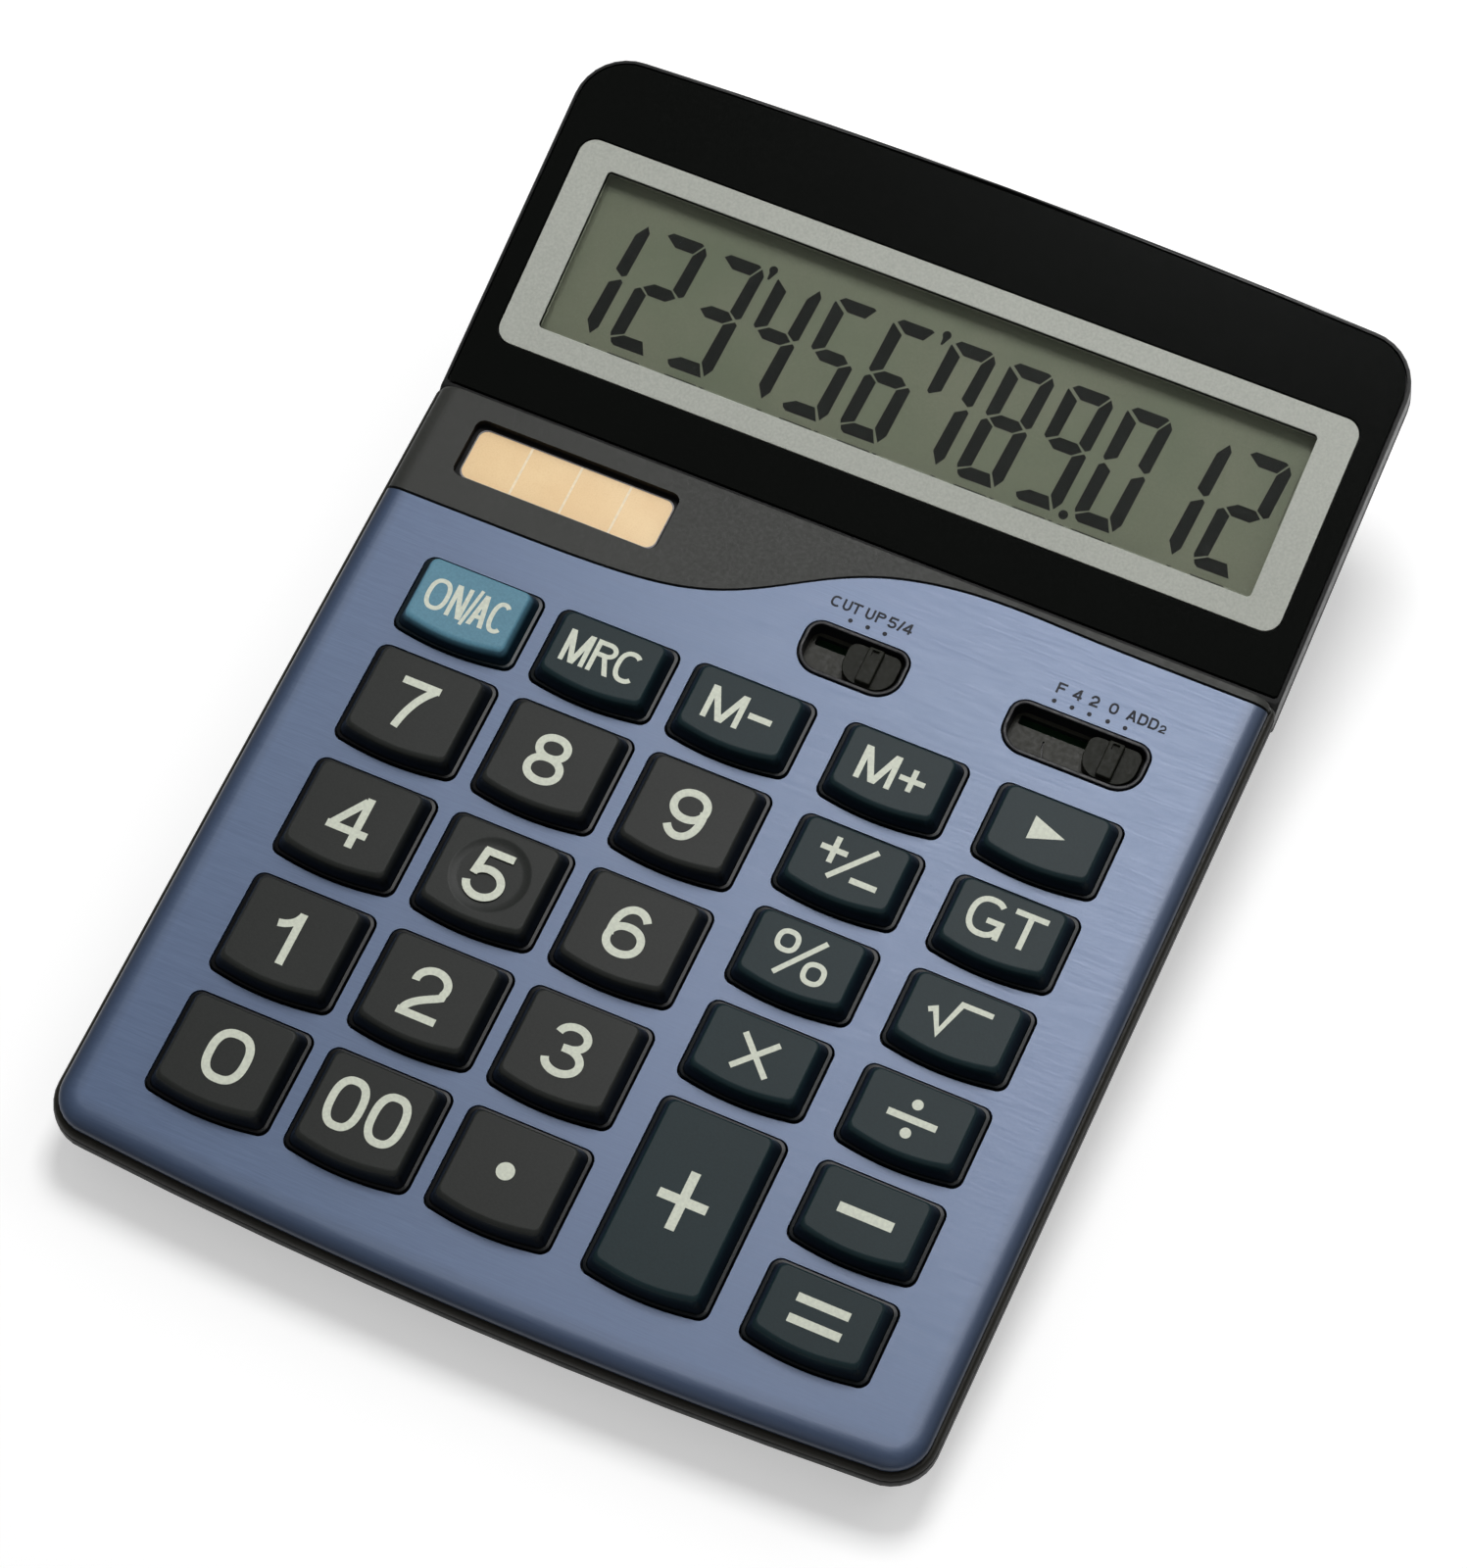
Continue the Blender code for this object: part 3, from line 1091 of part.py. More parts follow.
def add_pocket(body, centre, half_width):
    """Room in the nose for a knuckle: round over the axis, open below and in front."""
    radius = KNUCKLE_RADIUS + GAP
    beyond = NOSE_RADIUS + OVERRUN
    points = [(radius, -beyond), (radius, 0.0)]
    for step in range(1, ROUND_SEGMENTS + 1):
        angle = POCKET_OPEN_ANGLE * step / ROUND_SEGMENTS
        points.append((radius * math.cos(angle), radius * math.sin(angle)))
    points += [(-beyond, points[-1][1]), (-beyond, -beyond)]
    add_loft(body, (across(points, centre - half_width), across(points, centre + half_width)))


def make_hinge_cutter():
    """Knuckle pockets, pin bores and the ribbon's way through the nose."""
    body = bmesh.new()
    for side in (-1, 1):
        centre = side * KNUCKLE_X
        add_pocket(body, centre, KNUCKLE_HALF_WIDTH + GAP)
    ribbon = RIBBON_HALF_WIDTH + RIBBON_ROOM
    add_pocket(body, 0.0, ribbon)
    pockets = make_cutter("hinge_pocket_cutter", body, HEAD)
    bores = bmesh.new()
    for side in (-1, 1):
        centre = side * KNUCKLE_X
        add_bar(bores, centre - PIN_HALF_LENGTH - GAP, centre + PIN_HALF_LENGTH + GAP, 0.0, 0.0,
                PIN_RADIUS + GAP)
    add_box(bores, -ribbon, ribbon, 0.0, CAVITY_NEAR + OVERRUN / 2, -RIBBON_SLOT_HALF_HEIGHT,
            RIBBON_SLOT_HALF_HEIGHT)
    return pockets, make_cutter("pin_bore_cutter", bores, HEAD)


def make_front_case(cutters):
    """Front shell of the head: a rim round the black front, a deck with the window, and the
    upper half of the nose."""
    body = bmesh.new()
    rim = FASCIA_TOP - HEAD_RIM_DROP
    rings = [head_ring(0.0, FRONT_SHELL_BOTTOM)]
    for share in HEAD_LEVEL_SHARES[1:]:
        rings.append(head_ring(0.0, share * NOSE_RADIUS))
    rings.append(head_ring(HEAD_RIM_EASE, rim))
    add_loft(body, rings)
    shell = make_piece("display_front_case", body, HEAD, BLACK_PLASTIC)

    hollows = bmesh.new()
    add_prism(hollows, head_outline(HEAD_WALL, CAVITY_NEAR), FRONT_SHELL_BOTTOM - OVERRUN,
              HEAD_DECK_BOTTOM)
    add_prism(hollows, head_outline(FASCIA_INSET - GAP, FASCIA_NEAR - GAP), RECESS_FLOOR,
              FASCIA_TOP + OVERRUN)
    combine(shell, make_cutter("front_hollow_cutter", hollows, HEAD), "DIFFERENCE")
    window = bmesh.new()
    add_prism(window, window_outline(WINDOW_EASE), HEAD_DECK_BOTTOM - OVERRUN / 2,
              RECESS_FLOOR + OVERRUN / 2)
    combine(shell, make_cutter("front_window_cutter", window, HEAD), "DIFFERENCE")
    for cutter in cutters:
        combine(shell, cutter, "DIFFERENCE")


def make_rear_case(cutters):
    """Rear shell of the head: a band, a taper to the flat back, and the lower half of the
    nose.  It snaps into the front shell."""
    body = bmesh.new()
    span = NOSE_RADIUS + HEAD_BAND_BOTTOM
    rings = []
    for depth, run in REAR_TAPER_SHARES:
        rings.append(head_ring(run * REAR_TAPER_INSET, HEAD_BAND_BOTTOM - depth * span))
    rings += [head_ring(0.0, HEAD_BAND_BOTTOM), head_ring(0.0, REAR_SHELL_TOP)]
    add_loft(body, rings)
    shell = make_piece("display_rear_case", body, HEAD, GREY_PLASTIC)

    cavity = bmesh.new()
    add_loft(cavity, (level(head_outline(HEAD_WALL + REAR_TAPER_INSET / 2, CAVITY_NEAR), HEAD_FLOOR),
                      level(head_outline(HEAD_WALL, CAVITY_NEAR), HEAD_BAND_BOTTOM),
                      level(head_outline(HEAD_WALL, CAVITY_NEAR), REAR_SHELL_TOP + OVERRUN)))
    combine(shell, make_cutter("rear_cavity_cutter", cavity, HEAD), "DIFFERENCE")
    for cutter in cutters:
        combine(shell, cutter, "DIFFERENCE")


def make_display_front():
    """Glossy black front, silver frame and clear window, flush with each other."""
    low = FASCIA_TOP - FASCIA_THICKNESS
    body = bmesh.new()
    add_prism(body, head_outline(FASCIA_INSET, FASCIA_NEAR), low, FASCIA_TOP)
    fascia = make_piece("display_fascia", body, HEAD, GLOSS_BLACK)
    opening = bmesh.new()
    add_prism(opening, frame_outline(GAP), low - OVERRUN, FASCIA_TOP + OVERRUN)
    combine(fascia, make_cutter("fascia_opening_cutter", opening, HEAD), "DIFFERENCE")

    ring = bmesh.new()
    add_prism(ring, frame_outline(0.0), low, FASCIA_TOP)
    frame = make_piece("display_frame", ring, HEAD, SILVER)
    inner = bmesh.new()
    add_prism(inner, window_outline(0.0), low - OVERRUN, FASCIA_TOP + OVERRUN)
    combine(frame, make_cutter("frame_window_cutter", inner, HEAD), "DIFFERENCE")

    pane = bmesh.new()
    add_prism(pane, window_outline(-GAP), low, FASCIA_TOP - PANE_DROP)
    make_piece("display_window", pane, HEAD, CLEAR)


def make_display_stack():
    """Liquid crystal glass, connector strip and display board."""
    glass = bmesh.new()
    half = WINDOW_HALF_WIDTH + GLASS_SIDE_MARGIN
    near = WINDOW_NEAR - GLASS_NEAR_MARGIN
    add_box(glass, -half, half, near, WINDOW_FAR + GLASS_FAR_MARGIN, GLASS_BOTTOM, GLASS_TOP)
    make_piece("lcd_panel", glass, HEAD, DISPLAY_GREY)
    strip = bmesh.new()
    add_box(strip, -STRIP_HALF_LENGTH, STRIP_HALF_LENGTH, near, near + STRIP_WIDTH,
            DISPLAY_BOARD_TOP + GAP, GLASS_BOTTOM - GAP)
    make_piece("lcd_connector_strip", strip, HEAD, RUBBER)
    board = bmesh.new()
    add_box(board, -DISPLAY_BOARD_HALF_WIDTH, DISPLAY_BOARD_HALF_WIDTH, DISPLAY_BOARD_NEAR,
            DISPLAY_BOARD_FAR, DISPLAY_BOARD_BOTTOM, DISPLAY_BOARD_TOP)
    make_piece("display_board", board, HEAD, BOARD_GREEN)


def make_hinge_pins():
    """Two steel pins through the knuckles into the nose."""
    for side, name in ((-1, "hinge_pin_left"), (1, "hinge_pin_right")):
        body = bmesh.new()
        centre = side * KNUCKLE_X
        add_bar(body, centre - PIN_HALF_LENGTH, centre + PIN_HALF_LENGTH, HINGE_Y, HINGE_Z,
                PIN_RADIUS)
        make_piece(name, body, CASE, STEEL)


def head_to_case(y, z):
    """Height and reach in the case frame of a point of the head frame."""
    return (HINGE_Y + y * math.cos(HEAD_TILT) - z * math.sin(HEAD_TILT),
            HINGE_Z + y * math.sin(HEAD_TILT) + z * math.cos(HEAD_TILT))


def make_ribbon():
    """Flat cable from the main board through the hinge axis to the display board."""
    half = RIBBON_THICKNESS / 2
    rest = DISPLAY_BOARD_TOP + GAP + half
    start_y = BOARD_REAR_Y - 2 * NOSE_RADIUS / 3
    path = [(start_y, BOARD_TOP_Z + GAP + half), (BOARD_REAR_Y, BOARD_TOP_Z + GAP + half),
            (HINGE_Y, HINGE_Z), head_to_case(CAVITY_NEAR, -RIBBON_SLOT_HALF_HEIGHT / 2),
            head_to_case(DISPLAY_BOARD_NEAR + 2 * GAP, rest),
            head_to_case(DISPLAY_BOARD_NEAR + STRIP_WIDTH, rest)]
    upper = [(y, z + half) for y, z in path]
    lower = [(y, z - half) for y, z in path]
    outline_points = lower + upper[::-1]
    body = bmesh.new()
    add_loft(body, (across(outline_points, -RIBBON_HALF_WIDTH),
                    across(outline_points, RIBBON_HALF_WIDTH)))
    make_piece("display_ribbon", body, CASE, COPPER_FILM)


def centre_depth():
    """Depth of the middle of the object's box: between the front band and the far edge of
    the head's band, both in the level frame."""
    front = CASE_FRONT_Y * math.cos(PLATE_SLOPE) - BAND_TOP_Z * math.sin(PLATE_SLOPE)
    axis = HINGE_Y * math.cos(PLATE_SLOPE) - HINGE_Z * math.sin(PLATE_SLOPE)
    lean = PLATE_SLOPE + HEAD_TILT
    rear = axis + HEAD_REACH * math.cos(lean) - HEAD_BAND_BOTTOM * math.sin(lean)
    return (front + rear) / 2


COVER_TOP = FLOOR_INNER + GAP + COVER_LUG_THICKNESS
CELL_BOTTOM = COVER_TOP + GAP
CELL_TOP = CELL_BOTTOM + CELL_HEIGHT

clear_scene()
PARTS = make_collection("desktop_calculator")
CUTTERS = make_collection("cutters")
KEYS = key_table()
DECIMAL_SLOT = switch_slot(CASE_SCREW_X - SLOT_SCREW_GAP, DECIMAL_STEPS)
ROUNDING_SLOT = switch_slot(DECIMAL_SLOT[0] - SLOT_SPACING, ROUNDING_STEPS)
BASE = make_frame("base_frame", None, (0.0, -centre_depth(), 0.0), 0.0)
CASE = make_frame("case_frame", BASE, (0.0, 0.0, PLATE_HEIGHT), PLATE_SLOPE)
HEAD = make_frame("head_frame", CASE, (0.0, HINGE_Y, HINGE_Z), HEAD_TILT)

opening_cutter = make_opening_cutter()
seat_cutter = make_seat_cutter()
make_face_plate(opening_cutter)
make_top_case(opening_cutter, seat_cutter)
make_bottom_case(seat_cutter)
make_keys()
make_keypad()
make_main_board()
make_case_screws()
make_switch("rounding", ROUNDING_SLOT, ROUNDING_STEPS)
make_switch("decimal", DECIMAL_SLOT, DECIMAL_STEPS)
make_solar_cell()
make_battery()
make_feet()
hinge_cutters = make_hinge_cutter()
make_front_case(hinge_cutters)
make_rear_case(hinge_cutters)
make_display_front()
make_display_stack()
make_hinge_pins()
make_ribbon()
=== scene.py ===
"""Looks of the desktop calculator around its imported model, in one frame with it.

Sizes are in millimetres until a mesh is made.  Three frames carry the pieces: the level
base, the case frame on the sloping key plate (x right, y up the plate, z out of it, zero
at the far edge of the holes of 7, 8 and 9) and the head frame on the display's hinge axis.
"""
import math

import bmesh
import bpy
import numpy as np
from mathutils import Matrix, Vector


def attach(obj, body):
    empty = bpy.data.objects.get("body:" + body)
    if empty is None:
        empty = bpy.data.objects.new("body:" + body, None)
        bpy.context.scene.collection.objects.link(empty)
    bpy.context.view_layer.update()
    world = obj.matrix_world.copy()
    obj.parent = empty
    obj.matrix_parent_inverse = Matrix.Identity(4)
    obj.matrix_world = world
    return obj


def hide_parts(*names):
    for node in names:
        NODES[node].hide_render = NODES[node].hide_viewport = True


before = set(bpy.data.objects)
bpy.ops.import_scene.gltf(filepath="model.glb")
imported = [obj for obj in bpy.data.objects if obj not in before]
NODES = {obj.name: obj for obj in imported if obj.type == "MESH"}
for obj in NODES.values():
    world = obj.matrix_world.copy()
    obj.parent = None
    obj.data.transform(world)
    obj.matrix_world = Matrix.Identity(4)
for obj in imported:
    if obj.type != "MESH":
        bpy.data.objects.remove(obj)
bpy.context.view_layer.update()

MM = 0.001
MERGE = 1e-7
FLAT_ANGLE = 0.2
COPY_SHARP = 28.0
PIECE_SHARP = 35.0
KEY_SHARP = 30.0
PLATE_SLOPE = math.radians(5.0)
HEAD_TILT = math.radians(13.0)
CENTRE_DEPTH = 7.484
PLATE_HEIGHT = 23.3925
HINGE = (52.3, -6.87)


def turned(frame_matrix, y, z, angle):
    """A frame moved along y and z of its parent, then turned about its own x axis."""
    c, s = math.cos(angle), math.sin(angle)
    step = np.array([[1, 0, 0, 0], [0, c, -s, y], [0, s, c, z], [0, 0, 0, 1.0]])
    return frame_matrix @ step


BASE = turned(np.eye(4), -CENTRE_DEPTH, 0.0, 0.0)
CASE = turned(BASE, 0.0, PLATE_HEIGHT, PLATE_SLOPE)
HEAD = turned(CASE, *HINGE, HEAD_TILT)

# Plan and heights of the body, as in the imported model
CASE_HALF = 77.5
CASE_FRONT = -102.4
CASE_SAG = 3.1
CASE_REAR = 49.2
CASE_CORNER = 8.0
CASE_REAR_CORNER = 1.0
PARTING = -3.4
GAP = 0.3
PLATE_THICKNESS = 0.8
PLATE_INSET = 1.15
PLATE_DROP = 2.0
PLATE_ROLL = 2.95
RIM_SHADE = 4.6
DECK_BOTTOM = -2.9
STEP_LOW, STEP_RISE = 27.4, 20.2
STEP_MIDDLE, STEP_LENGTH = -5.3, 15.8
JOINT_GAP = 0.25
WALL = 2.3
BEYOND = 3.0
THROUGH_LOW, THROUGH_HIGH = -8.0, 3.0
HOLE_WIDTH = 22.42
HOLE_RADIUS = 2.0
HOLE_SAG = 1.2
COLUMNS = (-63.89, -38.89, -13.89, 13.64, 41.17)
NUMBER_PITCH, NUMBER_DEPTH = 23.0, 20.33
SMALL_PITCH, SMALL_DEPTH = 18.27, 16.05
TOP_ROW_FAR = 18.1
PLUS_DEPTH = 34.32
KEY_TOP = 3.7
SKIRT_SHADE = 1.9
KEY_GAP = 0.35
KEY_EDGE = 0.7
SKIRT_FOOT = 0.43
FLANGE_REACH = 0.9
FLANGE_BOTTOM, FLANGE_TOP = -4.0, -3.2

# Display head
HEAD_HALF = 77.3
HEAD_REACH = 66.7
HEAD_SAG = 2.03
HEAD_CORNER = 9.5
NOSE = 5.0
NOSE_CORNER = 0.8
FRAME_BOX = (-72.2, 72.2, 9.6, 49.2)
WINDOW_BOX = (-65.8, 65.8, 14.2, 44.6)


# ---- surfaces -------------------------------------------------------------------------

def plan(left, right, near, far, near_radius, far_radius, near_sag=0.0, far_sag=0.0,
         arc=8, bow=24):
    """Plan outline, anticlockwise from the near right corner: four quarter circles, joined
    by a near and a far edge that are parabolas, their ends back from the middle by the sag."""
    middle, half = (left + right) / 2, (right - left) / 2
    near_y = lambda x: near + near_sag * ((x - middle) / half) ** 2
    far_y = lambda x: far - far_sag * ((x - middle) / half) ** 2
    turn = np.radians(np.linspace(0.0, 90.0, arc + 1))

    def corner(x, y, radius, start):
        angle = turn + math.radians(start)
        return np.stack([x + radius * np.cos(angle), y + radius * np.sin(angle)], -1)

    def edge(start, end, height):
        x = np.linspace(start, end, bow + 1)[1:-1]
        return np.stack([x, height(x)], -1)

    rn, rf = near_radius, far_radius
    return np.concatenate([
        corner(right - rn, near_y(right - rn) + rn, rn, 270),
        corner(right - rf, far_y(right - rf) - rf, rf, 0),
        edge(right - rf, left + rf, far_y),
        corner(left + rf, far_y(left + rf) - rf, rf, 90),
        corner(left + rn, near_y(left + rn) + rn, rn, 180),
        edge(left + rn, right - rn, near_y)])


def level(points, height):
    """Plan points lifted to one height."""
    return np.column_stack([points, np.full(len(points), float(height))])


def loft(rings, start="flat", end="flat"):
    """Grid of rings by points, each quad joining two neighbours on two rings.  An end is
    closed by one face (flat), left open, or, where both are ring, the last ring meets the
    first."""
    rings = np.asarray(rings, float)
    count, size = rings.shape[:2]
    index = np.arange(count * size).reshape(count, size)
    lower = index if start == "ring" else index[:-1]
    upper = np.roll(index, -1, 0) if start == "ring" else index[1:]
    quads = np.stack([lower, np.roll(lower, -1, 1), np.roll(upper, -1, 1), upper], -1)
    faces = [tuple(quad) for quad in quads.reshape(-1, 4).tolist()]
    if start == "flat":
        faces.append(tuple(index[0, ::-1].tolist()))
    if end == "flat":
        faces.append(tuple(index[-1].tolist()))
    return rings.reshape(-1, 3), faces


def join(shells):
    """Several point and face lists as one."""
    points, faces, base = [], [], 0
    for shell_points, shell_faces in shells:
        points.append(shell_points)
        faces += [tuple(corner + base for corner in face) for face in shell_faces]
        base += len(shell_points)
    return np.concatenate(points), faces


def prism(points, low, high):
    """Upright prism: a plan outline at a low and at a high level."""
    return loft([level(points, low), level(points, high)])


def disc(place, radius, steps=48):
    """Plan circle: radius times cosine and sine of equal angles round a place."""
    angle = np.linspace(0.0, 2 * math.pi, steps, endpoint=False)
    return np.stack([place[0] + radius * np.cos(angle), place[1] + radius * np.sin(angle)], -1)


def rectangle(left, right, near, far):
    """Plan rectangle."""
    return np.array([[left, near], [right, near], [right, far], [left, far]])


def turned_body(place, profile, steps=48):
    """Body of revolution about z: a circle for each radius and height of a profile, from
    the bottom up."""
    return loft([level(disc(place, radius, steps), height) for radius, height in profile])


def bar(x_low, x_high, y, z, radius, steps=48):
    """Cylinder along x: one circle in y and z at each end."""
    circle = disc((y, z), radius, steps)
    ends = [np.column_stack([np.full(steps, x), circle]) for x in (x_low, x_high)]
    return loft(ends)


def mesh_of(name, shell, place):
    """Closed mesh of a shell in a frame, doubles merged and faces turned outwards."""
    points, faces = shell
    points = points @ place[:3, :3].T + place[:3, 3]
    mesh = bpy.data.meshes.new(name)
    mesh.from_pydata((points * MM).tolist(), [], faces)
    body = bmesh.new()
    body.from_mesh(mesh)
    bmesh.ops.remove_doubles(body, verts=body.verts, dist=MERGE)
    bmesh.ops.recalc_face_normals(body, faces=body.faces)
    body.to_mesh(mesh)
    body.free()
    return mesh


def worked(shell, place, *steps):
    """Shell after exact Booleans: each step is an operation and a shell in the same
    frame."""
    def helper(part):
        item = bpy.data.objects.new("helper", mesh_of("helper", part, place))
        bpy.context.scene.collection.objects.link(item)
        return item

    items = [helper(shell)]
    for operation, tool in steps:
        items.append(helper(tool))
        modifier = items[0].modifiers.new("step", "BOOLEAN")
        modifier.object, modifier.operation = items[-1], operation
        modifier.solver = "EXACT"
    graph = bpy.context.evaluated_depsgraph_get()
    done = bpy.data.meshes.new_from_object(items[0].evaluated_get(graph))
    points = np.zeros(len(done.vertices) * 3)
    done.vertices.foreach_get("co", points)
    inverse = np.linalg.inv(place)
    points = points.reshape(-1, 3) / MM @ inverse[:3, :3].T + inverse[:3, 3]
    faces = [tuple(face.vertices) for face in done.polygons]
    for item in items:
        bpy.data.objects.remove(item)
    return points, faces


def dress(name, mesh, body, finishes, slot, hides, angle, weighted):
    """Named object on a body, with its finishes, smooth but for sharp edges."""
    item = bpy.data.objects.new(name, mesh)
    bpy.context.scene.collection.objects.link(item)
    mesh.materials.clear()
    for finish in finishes if isinstance(finishes, (list, tuple)) else (finishes,):
        mesh.materials.append(finish)
    mesh.shade_smooth()
    mesh.set_sharp_from_angle(angle=math.radians(angle))
    if weighted:
        even = item.modifiers.new("even_flats", "WEIGHTED_NORMAL")
        even.keep_sharp = True
    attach(item, body)
    if hides:
        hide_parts(*hides)


def piece(name, shell, place, body, finishes, slot, hides=(), paint=None,
          angle=PIECE_SHARP, weighted=True):
    """Named piece from a shell in a frame.  Paint gives each face the number of its finish
    from the middles of the faces in that frame."""
    mesh = mesh_of(name, shell, place)
    dress(name, mesh, body, finishes, slot, hides, angle, weighted)
    if paint is not None:
        inverse = np.linalg.inv(place)
        middles = np.zeros(len(mesh.polygons) * 3)
        mesh.polygons.foreach_get("center", middles)
        middles = middles.reshape(-1, 3) / MM @ inverse[:3, :3].T + inverse[:3, 3]
        mesh.polygons.foreach_set("material_index", paint(middles).astype(np.int32))


def smoothed(node, name, body, finish, slot):
    """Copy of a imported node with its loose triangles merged, its flats made whole and its
    curves shaded smooth."""
    mesh = NODES[node].data.copy()
    work = bmesh.new()
    work.from_mesh(mesh)
    bmesh.ops.remove_doubles(work, verts=work.verts, dist=MERGE)
    bmesh.ops.dissolve_limit(work, angle_limit=math.radians(FLAT_ANGLE), verts=work.verts,
                             edges=work.edges)
    work.to_mesh(mesh)
    work.free()
    dress(name, mesh, body, finish, slot, (node,), COPY_SHARP, True)


# ---- finishes -------------------------------------------------------------------------

GRAIN_DEPTH = 0.00002
FINE_DEPTH = 0.00001
POLISH_DEPTH = 0.000001
SLOW_CLOUD = 45.0
SCREEN_KNEE = 0.04045

def linear(colour):
    """Linear colour of an 8-bit screen colour."""
    value = np.array(colour, float) / 255
    low, high = value / 12.92, ((value + 0.055) / 1.055) ** 2.4
    return (*np.where(value <= SCREEN_KNEE, low, high).tolist(), 1.0)


def grey(value):
    """Linear grey."""
    return (value, value, value, 1.0)


class Nodes:
    """Short way to add and link shader nodes of one material."""

    def __init__(self, name):
        self.material = bpy.data.materials.new(name)
        self.material.use_nodes = True
        self.tree = self.material.node_tree
        self.shader = self.tree.nodes["Principled BSDF"]
        self.output = self.tree.nodes["Material Output"]
        self.object_point = self.add("ShaderNodeTexCoord").outputs["Object"]

    def add(self, kind, **values):
        """Node with its properties or input values set by name."""
        node = self.tree.nodes.new(kind)
        for key, value in values.items():
            name = key.replace("_", " ")
            if name in node.inputs:
                self.put(node.inputs[name], value)
            else:
                setattr(node, key, value)
        return node

    def put(self, socket, value):
        """Link a socket, or set a plain value."""
        if isinstance(value, bpy.types.NodeSocket):
            self.tree.links.new(value, socket)
        else:
            socket.default_value = value

    def mapped(self, scale, turn):
        """Object coordinates, turned and scaled."""
        node = self.add("ShaderNodeMapping")
        self.put(node.inputs["Vector"], self.object_point)
        node.inputs["Rotation"].default_value = turn
        node.inputs["Scale"].default_value = scale
        return node.outputs["Vector"]

    def in_case(self):
        """X, Y and Z in the case frame, in metres."""
        c, s = math.cos(PLATE_SLOPE), math.sin(PLATE_SLOPE)
        node = self.add("ShaderNodeMapping")
        self.put(node.inputs["Vector"], self.object_point)
        node.inputs["Rotation"].default_value = (-PLATE_SLOPE, 0.0, 0.0)
        node.inputs["Location"].default_value = (
            0.0, (c * CENTRE_DEPTH - s * PLATE_HEIGHT) * MM,
            -(s * CENTRE_DEPTH + c * PLATE_HEIGHT) * MM)
        split = self.add("ShaderNodeSeparateXYZ")
        self.put(split.inputs[0], node.outputs["Vector"])
        return split.outputs

    def noise(self, scale, detail=2.0, vector=None, roughness=0.5):
        """Noise value."""
        node = self.add("ShaderNodeTexNoise", Scale=scale, Detail=detail, Roughness=roughness)
        self.put(node.inputs["Vector"], vector or self.object_point)
        return node.outputs["Fac"]

    def spread(self, value, low, high, start=0.3, end=0.7):
        """Value mapped to a range."""
        node = self.add("ShaderNodeMapRange")
        self.put(node.inputs["Value"], value)
        for name, number in (("From Min", start), ("From Max", end), ("To Min", low),
                             ("To Max", high)):
            node.inputs[name].default_value = number
        return node.outputs["Result"]

    def mix(self, factor, first, second, blend="MIX"):
        """Mixed colour."""
        node = self.add("ShaderNodeMix", data_type="RGBA", blend_type=blend)
        self.put(node.inputs[0], factor)
        self.put(node.inputs[6], first)
        self.put(node.inputs[7], second)
        return node.outputs[2]

    def bump(self, height, strength, distance=GRAIN_DEPTH):
        """Bumped normal, from a height that is scaled by a distance in metres."""
        node = self.add("ShaderNodeBump", Strength=strength, Distance=distance)
        self.put(node.inputs["Height"], height)
        return node.outputs["Normal"]

    def set(self, **values):
        """Values or links on the shader's sockets."""
        for key, value in values.items():
            self.put(self.shader.inputs[key.replace("_", " ")], value)
        return self.material


def moulded(name, colour, roughness, grain, depth=GRAIN_DEPTH, strength=0.35, change=0.08,
            specular=0.5):
    """Moulded plastic or rubber: a fine even grain in the surface, and slow slight changes
    of colour and gloss."""
    nodes = Nodes(name)
    slow = nodes.noise(SLOW_CLOUD, 3.0)
    fine = nodes.noise(grain, 2.0)
    base = linear(colour)
    dark = (*[c * (1 - change) for c in base[:3]], 1.0)
    light = (*[min(c * (1 + change), 1.0) for c in base[:3]], 1.0)
    tint = nodes.mix(nodes.spread(slow, 0.0, 1.0), dark, light)
    speck = nodes.mix(nodes.spread(fine, 0.0, 1.0), grey(0.9), grey(1.08))
    nodes.set(Base_Color=nodes.mix(1.0, tint, speck, "MULTIPLY"),
              Roughness=nodes.spread(fine, roughness - 0.05, roughness + 0.07),
              Normal=nodes.bump(fine, strength, depth))
    nodes.shader.inputs["Specular IOR Level"].default_value = specular
    return nodes.material


def key_finish(name, top, side, gloss):
    """Key plastic: a fine grain on the top, and a soft change with height over the edge to
    a smoother skirt, whose darker colour is painted shade."""
    nodes = Nodes(name)
    # Painted shade: the skirt takes the darker side colour, faded in with height below the
    # top.
    share = nodes.spread(nodes.in_case()["Z"], 0.0, 1.0, (KEY_TOP - SKIRT_SHADE) * MM,
                         (KEY_TOP - 0.06) * MM)
    share.node.interpolation_type = "SMOOTHSTEP"
    slow, fine = nodes.noise(SLOW_CLOUD, 3.0), nodes.noise(2600.0)
    tint = nodes.mix(nodes.spread(slow, 0.0, 1.0), grey(0.93), grey(1.05))
    speck = nodes.mix(nodes.spread(fine, 0.0, 1.0), grey(0.9), grey(1.08))
    base = nodes.mix(1.0, nodes.mix(share, linear(side), linear(top)), tint, "MULTIPLY")
    nodes.set(Base_Color=nodes.mix(1.0, base, speck, "MULTIPLY"),
              Roughness=nodes.spread(share, 0.3, 0.42, 0.0, 1.0),
              Normal=nodes.bump(fine, 0.4))
    nodes.shader.inputs["Specular IOR Level"].default_value = gloss
    return nodes.material


